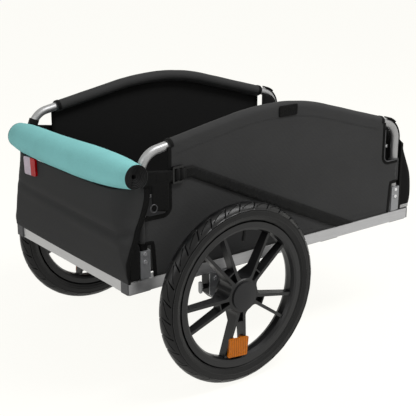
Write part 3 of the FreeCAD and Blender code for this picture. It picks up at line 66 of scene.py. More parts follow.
# The rear end's x, and how far each hoop stands from the middle
REAR_END = -398.55
LEG_Y = 222.5

FORWARDS = Vector((1, 0, 0))
ACROSS = Vector((0, 1, 0))
UP = Vector((0, 0, 1))

Point2 = tuple[float, float]
Point3 = tuple[float, float, float]
Colour = tuple[float, float, float]
Ask = Callable[[int], Vector]
Socket = bpy.types.NodeSocket


def from_screen(red: int, green: int, blue: int) -> Colour:
    """Turns a screen colour into a linear one.

    Args:
        red: Red from 0 to 255.
        green: Green from 0 to 255.
        blue: Blue from 0 to 255.

    Returns:
        The linear colour.
    """

    def linear(value: float) -> float:
        """One channel of the colour, made linear."""
        share = value / 255
        return share / 12.92 if share <= 0.04045 else ((share + 0.055) / 1.055) ** 2.4

    return linear(red), linear(green), linear(blue)


def world(along: float, y: float, z: float) -> Vector:
    """A point in metres, from an along distance, y and z."""
    return Vector((along + REAR_END, y, z)) * MM


def clamp(value: float, low: float, high: float) -> float:
    """A value held between two limits."""
    return min(high, max(low, value))


def smooth(share: float) -> float:
    """A share from 0 to 1, eased at both ends."""
    held = clamp(share, 0.0, 1.0)
    return held * held * (3 - 2 * held)


def curve_value(values: Sequence[float], place: float) -> float:
    """Reads a smooth curve through evenly spaced values.

    Args:
        values: The curve's values at 0, 1, 2 and so on.
        place: Where to read it.

    Returns:
        The value there.
    """
    last = len(values) - 1
    held = clamp(place, 0.0, float(last))
    index = min(int(held), last - 1)
    share = held - index
    before = values[max(index - 1, 0)]
    first, second = values[index], values[index + 1]
    after = values[min(index + 2, last)]
    return 0.5 * (
        2 * first
        + (second - before) * share
        + (2 * before - 5 * first + 4 * second - after) * share**2
        + (3 * first - before - 3 * second + after) * share**3
    )


def turned(centre: Point2, reach: float, angle: float) -> Point2:
    """The point at a distance from a centre, at an angle in radians from the first axis."""
    return centre[0] + reach * math.cos(angle), centre[1] + reach * math.sin(angle)


@dataclass(frozen=True)
class Unevenness:
    """A cloth's soft unevenness: its height, its waves per millimetre both ways, and its seed."""

    height: float
    along: float
    up: float
    seed: float

    def at(self, along: float, z: float) -> float:
        """How far the cloth is out at a place."""
        return self.height * noise.noise(Vector((along * self.along, z * self.up, self.seed)))


class Side(Enum):
    """A side of the trailer, with the sign of its y."""

    RIGHT = -1
    LEFT = 1

    @property
    def word(self) -> str:
        """The word that ends this side's names."""
        return self.name.lower()

    def end_of(self, count: int) -> int:
        """The number of this side's last column, where the columns run from right to left."""
        return 0 if self is Side.RIGHT else count - 1


class Grain(Enum):
    """The way that a metal's drawing or brushing lines run."""

    ALONG_X = (0.02, 1.0, 1.0)
    ALONG_Y = (1.0, 0.02, 1.0)
    ROUND = (1.0, 1.0, 1.0)


# Finishes


class NodeTree:
    """A node tree, with short ways to add its nodes."""

    def __init__(self, owner: bpy.types.Material | bpy.types.World) -> None:
        """Empties the tree of a material or a world.

        Args:
            owner: The material or the world.
        """
        owner.use_nodes = True
        self.tree = owner.node_tree
        self.tree.nodes.clear()

    def node(self, kind: str, inputs: dict | None = None, **settings: object) -> bpy.types.Node:
        """Adds a node.

        Args:
            kind: The node's type, without the words that all types start with.
            inputs: A value or a socket for each input, by its name or number.
            settings: The node's other properties.

        Returns:
            The node.
        """
        made = self.tree.nodes.new("ShaderNode" + kind)
        for name, value in settings.items():
            setattr(made, name, value)
        for name, value in (inputs or {}).items():
            if isinstance(value, Socket):
                self.tree.links.new(value, made.inputs[name])
            else:
                made.inputs[name].default_value = value
        return made

    def maths(self, how: str, first: object, second: object) -> Socket:
        """Joins two values, each a number or a socket, with one sum."""
        return self.node("Math", {0: first, 1: second}, operation=how).outputs[0]

    def mixed(self, share: object, first: Socket, second: Socket) -> Socket:
        """Mixes two shaders, by the second one's share."""
        return self.node("MixShader", {0: share, 1: first, 2: second}).outputs[0]

    def seen_directly(self) -> Socket:
        """Tells which rays come from the camera, mirrors and glass.

        Returns:
            A socket that is 1 for them.
        """
        rays = self.node("LightPath").outputs
        total = rays["Is Camera Ray"]
        for name in ("Is Glossy Ray", "Is Transmission Ray"):
            total = self.maths("MAXIMUM", total, rays[name])
        return total


class Shading(NodeTree):
    """A material's node tree, with what the finishes need."""

    # At a scale of 1 a band texture turns by this many radians over one unit
    BAND_TURN: ClassVar[float] = 20.0
    ROUGH_LIMITS: ClassVar[Point2] = (0.3, 0.7)

    def __init__(self, name: str, inputs: dict[str, object]) -> None:
        """Starts a material with its main shader.

        Args:
            name: The material's name.
            inputs: The values of the main shader's inputs.
        """
        self.material = bpy.data.materials.new(name)
        super().__init__(self.material)
        self.shader = self.node("BsdfPrincipled", inputs)
        self.node("OutputMaterial", {"Surface": self.shader.outputs[0]})

    def drive(self, name: str, value: Socket) -> None:
        """Lets a value drive one of the main shader's inputs."""
        self.tree.links.new(value, self.shader.inputs[name])

    def coordinates(self, stretch: Point3 = (1.0, 1.0, 1.0), on_map: bool = False) -> Socket:
        """The piece's own coordinates, or its flat map's ones, with each axis scaled."""
        source = self.node("TexCoord").outputs["UV" if on_map else "Object"]
        return self.node("Mapping", {"Vector": source, "Scale": stretch}).outputs["Vector"]

    def noise(self, fineness: Point2, place: Socket | None = None) -> Socket:
        """Adds a noise.

        Args:
            fineness: Its scale and its detail.
            place: The coordinates, if not the piece's own.

        Returns:
            The socket of its value.
        """
        scale, detail = fineness
        inputs = {"Scale": scale, "Detail": detail, "Vector": place or self.coordinates()}
        return self.node("TexNoise", inputs).outputs[0]

    def bands(self, radian: float, axis: str, place: Socket) -> Socket:
        """Adds even bands across one axis.

        Args:
            radian: The distance over which they turn by one radian, in the coordinates' unit.
            axis: The axis that they cross.
            place: The coordinates.

        Returns:
            The socket of their value.
        """
        inputs = {"Scale": 1 / radian / self.BAND_TURN, "Vector": place}
        settings = {"wave_type": "BANDS", "bands_direction": axis, "wave_profile": "SIN"}
        return self.node("TexWave", inputs, **settings).outputs[1]

    def blend(self, first: Socket, share: float, second: Socket) -> Socket:
        """Adds a share of one value to the rest of another."""
        own, other = self.maths("MULTIPLY", first, share), self.maths("MULTIPLY", second, 1 - share)
        return self.maths("ADD", own, other)

    def colours(self, value: Socket, stops: Sequence[tuple[float, Colour]]) -> None:
        """Drives the base colour from a value through colour stops.

        Args:
            value: The value.
            stops: Each stop's place and linear colour.
        """
        ramp = self.node("ValToRGB", {0: value})
        elements = ramp.color_ramp.elements
        while len(elements) < len(stops):
            elements.new(0.5)
        for element, (place, colour) in zip(elements, stops):
            element.position = place
            element.color = (*colour, 1.0)
        self.drive("Base Color", ramp.outputs[0])

    def rough(self, value: Socket, middle: float, spread: Point2) -> None:
        """Drives the roughness from a value.

        Args:
            value: The value.
            middle: The finish's own roughness.
            spread: How far the roughness goes below and above it.
        """
        low, high = self.ROUGH_LIMITS
        inputs = {"Value": value, "From Min": low, "From Max": high}
        inputs |= {"To Min": middle + spread[0], "To Max": middle + spread[1]}
        self.drive("Roughness", self.node("MapRange", inputs).outputs[0])

    def bump(self, height: Socket, distance: float, strength: float = 1.0) -> None:
        """Adds a bump on top of any before it.

        Args:
            height: The height's value.
            distance: The bump's full height.
            strength: The bump's strength.
        """
        inputs = {"Height": height, "Distance": distance * MM, "Strength": strength}
        normal = self.shader.inputs["Normal"]
        if normal.is_linked:
            inputs["Normal"] = normal.links[0].from_socket
        self.drive("Normal", self.node("Bump", inputs).outputs[0])


@dataclass(frozen=True)
class Finish:
    """A named surface finish: its screen colour, and how a soft value varies it.

    STOPS are the value's places for the SHADES, which are factors on the colour. SPREAD is how far
    the roughness goes below and above its own value.
    """

    name: str
    screen: tuple[int, int, int]

    STOPS: ClassVar[tuple[float, ...]] = (0.3, 0.7)
    SHADES: ClassVar[tuple[float, ...]] = (0.88, 1.1)
    SPREAD: ClassVar[Point2] = (-0.05, 0.07)

    def tone(self, shading: Shading, value: Socket) -> None:
        """Drives the base colour from a value, between the finish's shades.

        Args:
            shading: The material's nodes.
            value: The value.
        """
        colour = from_screen(*self.screen)
        shades = [tuple(min(1.0, channel * shade) for channel in colour) for shade in self.SHADES]
        shading.colours(value, list(zip(self.STOPS, shades)))

    def build(self) -> bpy.types.Material:
        """Makes the material."""
        raise NotImplementedError


@dataclass(frozen=True)
class MetalFinish(Finish):
    """Bare, plated or anodised metal, with drawing lines and light wear."""

    roughness: float = 0.35
    grain: Grain = Grain.ROUND
    line_depth: float = 0.02
    metallic: float = 0.9

    SHADES = (0.88, 1.06)
    SPREAD = (-0.05, 0.09)
    LINES: ClassVar[Point2] = (900.0, 2.0)
    BLOTCH: ClassVar[Point2] = (35.0, 3.0)

    def build(self) -> bpy.types.Material:
        """Makes the material.

        Returns:
            The material.
        """
        shading = Shading(self.name, {"Metallic": self.metallic})
        lines = shading.noise(self.LINES, shading.coordinates(self.grain.value))
        blotch = shading.noise(self.BLOTCH)
        self.tone(shading, shading.blend(lines, 0.5, blotch))
        shading.rough(blotch, self.roughness, self.SPREAD)
        shading.bump(lines, self.line_depth)
        return shading.material


@dataclass(frozen=True)
class MouldedFinish(Finish):
    """Moulded plastic with a fine spark texture."""

    roughness: float = 0.5
    texture: float = 0.03
    shine: float = 0.22

    SPARK: ClassVar[Point2] = (1600.0, 2.0)
    BLOTCH: ClassVar[Point2] = (18.0, 4.0)

    def build(self) -> bpy.types.Material:
        """Makes the material.

        Returns:
            The material.
        """
        shading = Shading(self.name, {"Specular IOR Level": self.shine})
        blotch = shading.noise(self.BLOTCH)
        self.tone(shading, blotch)
        shading.rough(blotch, self.roughness, self.SPREAD)
        shading.bump(shading.noise(self.SPARK), self.texture)
        return shading.material


@dataclass(frozen=True)
class WovenFinish(Finish):
    """Coated plain-weave cloth. Its weave turns by one radian over one thread."""

    thread: float = 0.9
    depth: float = 0.12
    roughness: float = 0.78
    sheen: float = 0.02

    STOPS = (0.32, 0.68)
    SHADES = (0.9, 1.1)
    SPREAD = (-0.05, 0.06)
    CLOUD: ClassVar[Point2] = (9.0, 5.0)
    SLUB: ClassVar[Point2] = (420.0, 2.0)
    SLUB_STRETCH: ClassVar[Point3] = (0.15, 1.0, 1.0)
    CLOUD_SHARE: ClassVar[float] = 0.7
    CROSS_COUNT: ClassVar[float] = 1.31
    WEAVE_STRENGTH: ClassVar[float] = 0.6
    SLACK: ClassVar[Point2] = (26.0, 3.0)
    SLACK_BUMP: ClassVar[Point2] = (0.7, 0.35)

    def build(self) -> bpy.types.Material:
        """Makes the material.

        Returns:
            The material.
        """
        inputs = {"Sheen Weight": self.sheen, "Sheen Roughness": 0.5, "Specular IOR Level": 0.1}
        shading = Shading(self.name, inputs)
        place = shading.coordinates()
        over = shading.bands(self.thread * MM, "DIAGONAL", place)
        across = shading.bands(self.thread * MM / self.CROSS_COUNT, "Z", place)
        cloud = shading.noise(self.CLOUD)
        slub = shading.noise(self.SLUB, shading.coordinates(self.SLUB_STRETCH))
        self.tone(shading, shading.blend(cloud, self.CLOUD_SHARE, slub))
        shading.rough(cloud, self.roughness, self.SPREAD)
        shading.bump(shading.maths("MULTIPLY", over, across), self.depth, self.WEAVE_STRENGTH)
        shading.bump(shading.noise(self.SLACK), *self.SLACK_BUMP)
        return shading.material


@dataclass(frozen=True)
class WebbingFinish(Finish):
    """Woven tape with ribs across it. Its flat map is in millimetres, with u along the tape."""

    rib: float = 1.6
    depth: float = 0.35

    STOPS = (0.2, 0.8)
    SHADES = (0.72, 1.2)
    SPREAD = (-0.08, 0.08)
    ROUGHNESS: ClassVar[float] = 0.7
    THREAD: ClassVar[float] = 0.7
    RIB_SHARE: ClassVar[float] = 0.75
    FUZZ: ClassVar[Point2] = (240.0, 3.0)
    RIB_STRENGTH: ClassVar[float] = 0.8

    def build(self) -> bpy.types.Material:
        """Makes the material.

        Returns:
            The material.
        """
        shading = Shading(self.name, {"Specular IOR Level": 0.1})
        place = shading.coordinates(on_map=True)
        ribs = shading.bands(self.rib / math.tau, "X", place)
        threads = shading.bands(self.THREAD / math.tau, "Y", place)
        height = shading.blend(ribs, self.RIB_SHARE, threads)
        fuzz = shading.noise(self.FUZZ)
        # Darker in the grooves between ribs and threads: painted shade in the grooves, with the fuzz's random
        # tone
        self.tone(shading, shading.maths("MULTIPLY", shading.maths("ADD", height, fuzz), 0.5))
        shading.rough(fuzz, self.ROUGHNESS, self.SPREAD)
        shading.bump(height, self.depth, self.RIB_STRENGTH)
        return shading.material


@dataclass(frozen=True)
class RubberFinish(Finish):
    """Vulcanised rubber with a faint bloom."""

    roughness: float = 0.5

    STOPS = (0.3, 0.72)
    SHADES = (0.85, 1.25)
    SPREAD = (-0.07, 0.1)
    BLOOM: ClassVar[Point2] = (24.0, 5.0)
    GRIT: ClassVar[Point2] = (900.0, 3.0)
    GRIT_DEPTH: ClassVar[float] = 0.05

    def build(self) -> bpy.types.Material:
        """Makes the material.

        Returns:
            The material.
        """
        shading = Shading(self.name, {"Specular IOR Level": 0.24})
        bloom = shading.noise(self.BLOOM)
        self.tone(shading, bloom)
        shading.rough(bloom, self.roughness, self.SPREAD)
        shading.bump(shading.noise(self.GRIT), self.GRIT_DEPTH)
        return shading.material


@dataclass(frozen=True)
class LensFinish(Finish):
    """A reflector's clear face over its field of small prisms, with the pitch and axes of their ribs."""

    ribs: float
    axes: str

    STOPS = (0.15, 0.5, 0.85)
    SHADES = (0.62, 1.0, 1.35)
    PRISM_SHARE: ClassVar[float] = 0.55
    PATCH: ClassVar[Point2] = (60.0, 2.0)
    PRISM_BUMP: ClassVar[Point2] = (0.5, 0.7)

    def build(self) -> bpy.types.Material:
        """Makes the material.

        Returns:
            The material.
        """
        inputs = {"Roughness": 0.3, "Coat Weight": 0.04, "Coat Roughness": 0.1, "Specular IOR Level": 0.14}
        shading = Shading(self.name, inputs)
        place = shading.coordinates()
        first, second = (shading.bands(self.ribs * MM / math.tau, axis, place) for axis in self.axes)
        prisms = shading.maths("MULTIPLY", first, second)
        # The prisms lighten and darken the colour: painted glints and shade of the prisms, over their rib
        # pattern
        self.tone(shading, shading.blend(prisms, self.PRISM_SHARE, shading.noise(self.PATCH)))
        shading.bump(prisms, *self.PRISM_BUMP)
        return shading.material


class Finishes:
    """Every finish of the trailer, built once and found by name."""

    ALL: ClassVar[tuple[Finish, ...]] = (
        MetalFinish("rail_anodised", (178, 178, 180), 0.42, Grain.ALONG_X),
        MetalFinish("cross_rail_anodised", (180, 180, 181), 0.42, Grain.ALONG_Y),
        MetalFinish("hoop_anodised", (156, 156, 157), 0.42, Grain.ALONG_X, 0.02, 0.75),
        MetalFinish("foot_zinc", (138, 139, 141), 0.34, Grain.ROUND, 0.05, 0.55),
        MetalFinish("plate_zinc", (146, 147, 149), 0.3, Grain.ROUND, 0.05, 0.4),
        MetalFinish("bright_zinc", (216, 216, 218), 0.2, Grain.ROUND, 0.02, 0.7),
        MetalFinish("dark_wire", (66, 66, 68), 0.3, Grain.ROUND, 0.02, 0.7),
        MetalFinish("spring_wire", (160, 160, 162), 0.28),
        MetalFinish("arm_paint", (30, 30, 31), 0.4, Grain.ROUND, 0.03, 0.0),
        MouldedFinish("plug_grey", (82, 82, 83), 0.55),
        MouldedFinish("floor_black", (32, 32, 33), 0.6, 0.06),
        MouldedFinish("wheel_black", (25, 25, 26), 0.34, 0.02, 0.32),
        MouldedFinish("cap_black", (36, 36, 37), 0.4),
        MouldedFinish("block_black", (14, 14, 15), 0.45),
        MouldedFinish("buckle_black", (9, 9, 10), 0.24, 0.02, 0.3),
        MouldedFinish("knob_grey", (196, 196, 196), 0.45),
        WovenFinish("wall_cloth", (54, 54, 54)),
        WovenFinish("panel_cloth", (52, 52, 52), 0.9, 0.14),
        # Near-black inner faces of the walls, panels and gusset: partly the lining's own colour, partly
        # painted shade inside the trailer
        WovenFinish("lining_and_painted_shade", (20, 20, 20)),
        WovenFinish("cover_teal", (136, 201, 200), 0.8, 0.1, 0.8, 0.0),
        WovenFinish("cover_lining", (14, 14, 14), 0.8, 0.1, 0.8, 0.0),
        # Lighter grey on the wound layers' edges at the roll's ends: painted highlights on those edges
        WovenFinish("cover_hem", (46, 46, 46), 0.8, 0.1, 0.8, 0.0),
        WovenFinish("front_cloth", (13, 13, 13), 0.9, 0.12, 0.8, 0.0),
        WebbingFinish("webbing_black", (23, 23, 23)),
        WebbingFinish("strap_black", (11, 11, 11)),
        WebbingFinish("binding_black", (9, 9, 9), 1.1, 0.22),
        # Pale grey for the cord that paints a highlight along a binding's edge
        WebbingFinish("binding_highlight_grey", (84, 84, 85), 1.1, 0.12),
        WebbingFinish("thread_dark", (26, 26, 26), 0.8, 0.1),
        WebbingFinish("thread_cloth", (47, 47, 47), 0.8, 0.1),
        WebbingFinish("tag_grey", (165, 165, 163), 0.8, 0.08),
        WebbingFinish("hook_pile", (11, 11, 11), 0.9, 0.5),
        RubberFinish("tyre_rubber", (11, 11, 12), 0.33),
        RubberFinish("tube_rubber", (16, 16, 17), 0.6),
        LensFinish("lens_amber", (190, 102, 0), 5.0, "XX"),
        LensFinish("lens_red", (188, 0, 10), 2.6, "YZ"),
        LensFinish("lens_white", (206, 190, 202), 2.6, "YY"),
    )
    _made: ClassVar[dict[str, bpy.types.Material]] = {}

    @classmethod
    def get(cls, name: str) -> bpy.types.Material:
        """The material of a finish, made on first use.

        Args:
            name: The finish's name.

        Returns:
            The material.
        """
        if name not in cls._made:
            cls._made[name] = next(f for f in cls.ALL if f.name == name).build()
        return cls._made[name]


# Mesh making


@dataclass
class Shape:
    """A mesh on its way: points in metres, faces, a flat map in millimetres and a slot per face."""

    points: list[Vector] = field(default_factory=list)
    faces: list[tuple[int, ...]] = field(default_factory=list)
    flat: list[Point2] = field(default_factory=list)
    slots: list[int] = field(default_factory=list)

    def add(self, point: Vector, flat: Point2 = (0.0, 0.0)) -> int:
        """Adds a point and gives its number.

        Args:
            point: The point in metres.
            flat: Its place on the flat map.

        Returns:
            The point's number.
        """
        self.points.append(point)
        self.flat.append(flat)
        return len(self.points) - 1

    def face(self, corners: Sequence[int], slot: int = 0) -> None:
        """Adds a face."""
        self.faces.append(tuple(corners))
        self.slots.append(slot)

    def grid(self, rows: Sequence[Sequence[int]], closed: bool = False,
             slot: Callable[[int, int], int] = lambda row, column: 0) -> None:
        """Fills the space between rows of point numbers with four-sided faces.

        Args:
            rows: The point numbers, row by row.
            closed: Whether each row joins its own end.
            slot: Gives a face's slot from its row and column.
        """
        for index, (low, high) in enumerate(zip(rows, rows[1:])):
            for column in range(len(low) if closed else len(low) - 1):
                after = (column + 1) % len(low)
                self.face((low[column], low[after], high[after], high[column]), slot(index, column))

    def turn_over(self) -> None:
        """Turns every face's outside in."""
        self.faces = [tuple(reversed(corners)) for corners in self.faces]

    def mirror(self) -> None:
        """Mirrors the shape to the other side of the trailer."""
        for point in self.points:
            point.y = -point.y
        self.turn_over()

    def join(self, other: Shape) -> None:
        """Takes in another shape's points and faces.

        Args:
            other: The other shape.
        """
        start = len(self.points)
        self.points += other.points
        self.flat += other.flat
        self.faces += [tuple(start + corner for corner in corners) for corners in other.faces]
        self.slots += other.slots

    def build(self, name: str, finishes: Sequence[str], sharp: float = 40.0,
              weld: float = 0.0) -> bpy.types.Object:
        """Makes the object, with smooth shading except at edges sharper than an angle.

        Args:
            name: The piece's name.
            finishes: The finish of each slot.
            sharp: The angle in degrees.
            weld: The distance within which points become one.

        Returns:
            The object.
        """
        mesh = bpy.data.meshes.new(name)
        mesh.from_pydata(self.points, [], self.faces)
        layer = mesh.uv_layers.new(name="flat")
        for loop in mesh.loops:
            layer.data[loop.index].uv = self.flat[loop.vertex_index]
        for polygon, slot in zip(mesh.polygons, self.slots):
            polygon.material_index = slot
        mesh.validate()
        if weld:
            work = bmesh.new()
            work.from_mesh(mesh)
            bmesh.ops.remove_doubles(work, verts=work.verts, dist=weld * MM)
            work.to_mesh(mesh)
            work.free()
        mesh.polygons.foreach_set("use_smooth", [True] * len(mesh.polygons))
        mesh.set_sharp_from_angle(angle=math.radians(sharp))
        for finish in finishes:
            mesh.materials.append(Finishes.get(finish))
        made = bpy.data.objects.new(name, mesh)
        bpy.context.scene.collection.objects.link(made)
        return made


def edges_of(outline: Sequence[Point2]) -> list[tuple[Point2, Point2]]:
    """An outline's edges, with the one that closes it."""
    return list(zip(outline, [*outline[1:], outline[0]]))


def inside(outline: Sequence[Point2], place: Point2) -> bool:
    """Tells whether a place is inside an outline.

    Args:
        outline: The outline's points.
        place: The place.

    Returns:
        True if it is inside.
    """
    found = False
    for (x0, z0), (x1, z1) in edges_of(outline):
        if (z0 > place[1]) != (z1 > place[1]) and place[0] < (x1 - x0) * (place[1] - z0) / (z1 - z0) + x0:
            found = not found
    return found


def edge_distance(outline: Sequence[Point2], place: Point2) -> float:
    """Measures how far a place is from the nearest edge of an outline.

    Args:
        outline: The outline's points.
        place: The place.

    Returns:
        The distance.
    """
    best = math.inf
    for (x0, z0), (x1, z1) in edges_of(outline):
        dx, dz = x1 - x0, z1 - z0
        square = dx * dx + dz * dz
        share = clamp(((place[0] - x0) * dx + (place[1] - z0) * dz) / square, 0, 1) if square else 0.0
        best = min(best, math.hypot(place[0] - x0 - share * dx, place[1] - z0 - share * dz))
    return best


def divided(outline: Sequence[Point2], step: float) -> list[Point2]:
    """Adds points to an outline so that no edge is longer than a step.

    Args:
        outline: The outline's points.
        step: The longest edge.

    Returns:
        The outline with its new points.
    """
    result: list[Point2] = []
    for (x0, z0), (x1, z1) in edges_of(outline):
        count = max(1, math.ceil(math.hypot(x1 - x0, z1 - z0) / step))
        result += [(x0 + (x1 - x0) * i / count, z0 + (z1 - z0) * i / count) for i in range(count)]
    return result


# How the points inside a cut cloth lie, as shares of its step: where its rows start in turn, how
# far apart they are, and how near they come to the edge
ROW_START_SHARES = (0.3, 0.8)
ROW_SHARE = 0.87
MARGIN_SHARE = 0.45


def cut_cloth(outline: Sequence[Point2], place: Callable[[float, float], Vector], step: float,
              turn: float = 0.0) -> Shape:
    """Fills an outline with small faces and lays it in space.

    Args:
        outline: The cut's outline as flat points.
        place: Gives the point in metres for a flat point.
        step: The faces' size.
        turn: How far the flat map is turned, in radians.

    Returns:
        The shape.
    """
    edge = divided(outline, step)
    points = [Vector(p) for p in edge]
    low_x, high_x = min(p[0] for p in edge), max(p[0] for p in edge)
    low_z, high_z = min(p[1] for p in edge), max(p[1] for p in edge)
    row = 0
    z = low_z + step * ROW_START_SHARES[1]
    while z < high_z:
        x = low_x + step * ROW_START_SHARES[row % 2]
        while x < high_x:
            if inside(edge, (x, z)) and edge_distance(edge, (x, z)) > step * MARGIN_SHARE:
                points.append(Vector((x, z)))
            x += step
        z += step * ROW_SHARE
        row += 1
    loop = list(range(len(edge)))
    ring = [(a, (a + 1) % len(edge)) for a in loop]
    flat, _, faces, *_ = delaunay_2d_cdt(points, ring, [loop], 1, 1e-5)
    shape = Shape()
    cosine, sine = math.cos(turn), math.sin(turn)
    for x, z in flat:
        shape.add(place(x, z), (x * cosine + z * sine, -x * sine + z * cosine))
    for corners in faces:
        shape.face(corners)
    return shape


def always(direction: Vector) -> Ask:
    """Gives the same direction at each point of a path."""
    return lambda index: direction


def ahead(path: Sequence[Vector], index: int) -> Vector:
    """The way that a path runs at one of its points, at no set length."""
    return path[min(index + 1, len(path) - 1)] - path[max(index - 1, 0)]


def swept(path: Sequence[Vector], section: Sequence[Point2], out: Ask, across: Ask, closed: bool = False,
          stretch: Callable[[int], float] = lambda index: 1.0) -> Shape:
    """Sweeps a closed section along a path.

    Args:
        path: The path's points in metres.
        section: The section's points, as (outwards, across).
        out: Gives the outwards direction at a point of the path.
        across: Gives the across direction there.
        closed: Whether the path joins its own end.
        stretch: Gives the factor on the section's outwards lengths at a point of the path.

    Returns:
        The shape, with its ends capped.
    """
    shape = Shape()
    rows = []
    run = 0.0
    perimeter = [0.0]
    for a, b in zip(section, section[1:]):
        perimeter.append(perimeter[-1] + math.dist(a, b))
    for index, point in enumerate(path):
        if index:
            run += (point - path[index - 1]).length / MM
        row = []
        for (u, v), at in zip(section, perimeter):
            spot = point + (out(index) * u * stretch(index) + across(index) * v) * MM
            row.append(shape.add(spot, (run, at)))
        rows.append(row)
    if closed:
        shape.grid(rows + [rows[0]], closed=True)
    else:
        shape.grid(rows, closed=True)
        shape.face(rows[0][::-1])
        shape.face(rows[-1])
    return shape


def mirrored(half: Sequence[Point2], from_nose: bool = False) -> list[Point2]:
    """A closed section, from its half that starts at its nose, as (outwards, across)."""
    other = [(u, -v) for u, v in reversed(half[1:])]
    return [*half, *other] if from_nose else [*other, *half]


def flat_section(width: float, thick: float) -> list[Point2]:
    """Draws the section of a flat tape with rounded edges.

    Args:
        width: The tape's width.
        thick: Its thickness.

    Returns:
        The points, as (outwards, across).
    """
    half, lift = width / 2, thick / 2
    shoulder, edge, belly = half - thick * 0.35, lift * 0.4, lift + thick * 0.04
    return [(lift, -shoulder), (belly, 0), (lift, shoulder), (edge, half), (-edge, half),
            (-lift, shoulder), (-lift, -shoulder), (-edge, -half), (edge, -half)]


def tape(path: Sequence[Vector], across: Vector, width: float, thick: float) -> Shape:
    """A flat tape along a path, standing square to one direction.

    Args:
        path: The path in metres.
        across: The direction of the tape's width.
        width: Its width.
        thick: Its thickness.

    Returns:
        The shape.
    """

    def out(index: int) -> Vector:
        """The tape's outwards direction at one point."""
        return across.cross(ahead(path, index)).normalized()

    return swept(path, flat_section(width, thick), out, always(across))


class Seam(Enum):
    """The kinds of stitch, each with its pitch, length and width."""

    BINDING = (4.2, 3.0, 0.75)
    HEM = (4.4, 3.1, 0.6)
    PATCH = (3.4, 2.4, 0.6)
    STRAP = (3.2, 2.3, 0.6)
    COVER = (4.0, 2.8, 0.6)


# A stitch's six rim points, as shares of its half length, half width and sink, its two top points,
# as shares of its half length, and its faces
STITCH_RIM_SHARES = ((-1, 0, 1), (-0.6, -1, 0.2), (0.6, -1, 0.2), (1, 0, 1), (0.6, 1, 0.2), (-0.6, 1, 0.2))
STITCH_TOP_SHARES = (-0.55, 0.55)
STITCH_FACES = ((0, 1, 6), (1, 2, 7, 6), (2, 3, 7), (3, 4, 7), (4, 5, 6, 7), (5, 0, 6), (5, 4, 3, 2, 1, 0))
STITCH_SINK = 0.3
STITCH_LIFT = 0.35


def stitches(path: Sequence[Vector], out: Ask, seam: Seam) -> Shape:
    """A row of stitches along a path.

    Args:
        path: The path in metres, on the cloth's face.
        out: Gives the cloth's outwards direction at a point of the path.
        seam: The kind of stitch.

    Returns:
        The shape.
    """
    pitch, length, width = seam.value
    shape = Shape()
    travelled = 0.0
    wanted = pitch / 2
    for index, (start, stop) in enumerate(zip(path, path[1:])):
        run = (stop - start).length / MM
        while run and wanted <= travelled + run:
            heading = (stop - start).normalized()
            middle = start.lerp(stop, (wanted - travelled) / run)
            up = out(index)
            half = heading * length / 2 * MM
            wide = up.cross(heading).normalized() * width / 2 * MM
            sink, lift = up * -STITCH_SINK * MM, up * STITCH_LIFT * MM
            first = len(shape.points)
            for forth, side, deep in STITCH_RIM_SHARES:
                shape.add(middle + half * forth + wide * side + sink * deep)
            for forth in STITCH_TOP_SHARES:
                shape.add(middle + half * forth + lift)
            for corners in STITCH_FACES:
                shape.face([first + corner for corner in corners])
            wanted += pitch
        travelled += run
    return shape


@dataclass(frozen=True)
class Carrier:
    """A body that pieces ride on, and their side where they are made for the right one."""

    body: str
    side: Side | None = None

    def add(self, shape: Shape, name: str, finishes: Sequence[str], slot: str, *nodes: str,
            thick: float = 0.0, rim: int = 0, sharp: float = 40.0, weld: float = 0.0) -> bpy.types.Object:
        """Makes a piece of a shape and lets it ride on the body.

        Args:
            shape: The shape, which is mirrored here for the left side.
            name: The piece's name, without its side.
            finishes: Its finishes. A second one is the finish of a cloth's other face.
            slot: The record's material slot, not used.
            nodes: The CAD nodes that it stands for.
            thick: A cloth's thickness.
            rim: Which of a cloth's slots its rim takes, counted from the face's own.
            sharp: The angle in degrees from which an edge is sharp.
            weld: The distance within which points become one.

        Returns:
            The piece.
        """
        if self.side is Side.LEFT:
            shape.mirror()
        full_name = f"{name}_{self.side.word}" if self.side else name
        piece = shape.build(full_name, finishes, sharp, weld)
        if thick:
            skin = piece.modifiers.new("thickness", "SOLIDIFY")
            skin.thickness = thick * MM
            skin.offset = 0.0
            skin.use_even_offset = True
            skin.use_quality_normals = True
            skin.material_offset = min(1, len(finishes) - 1)
            skin.material_offset_rim = rim
        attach(piece, self.body)
        if nodes:
            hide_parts(*nodes)
        log.info("made %s on %s", piece.name, self.body)
        return piece

    def sew(self, path: Sequence[Vector], out: Ask, seam: Seam, name: str, slot: str = "webbing",
            thread: str = "thread_dark") -> None:
        """Makes a row of stitches along a path on a cloth's face and lets it ride on the body."""
        self.add(stitches(path, out, seam), name, [thread], slot)


# The hoop's line, which the side walls follow


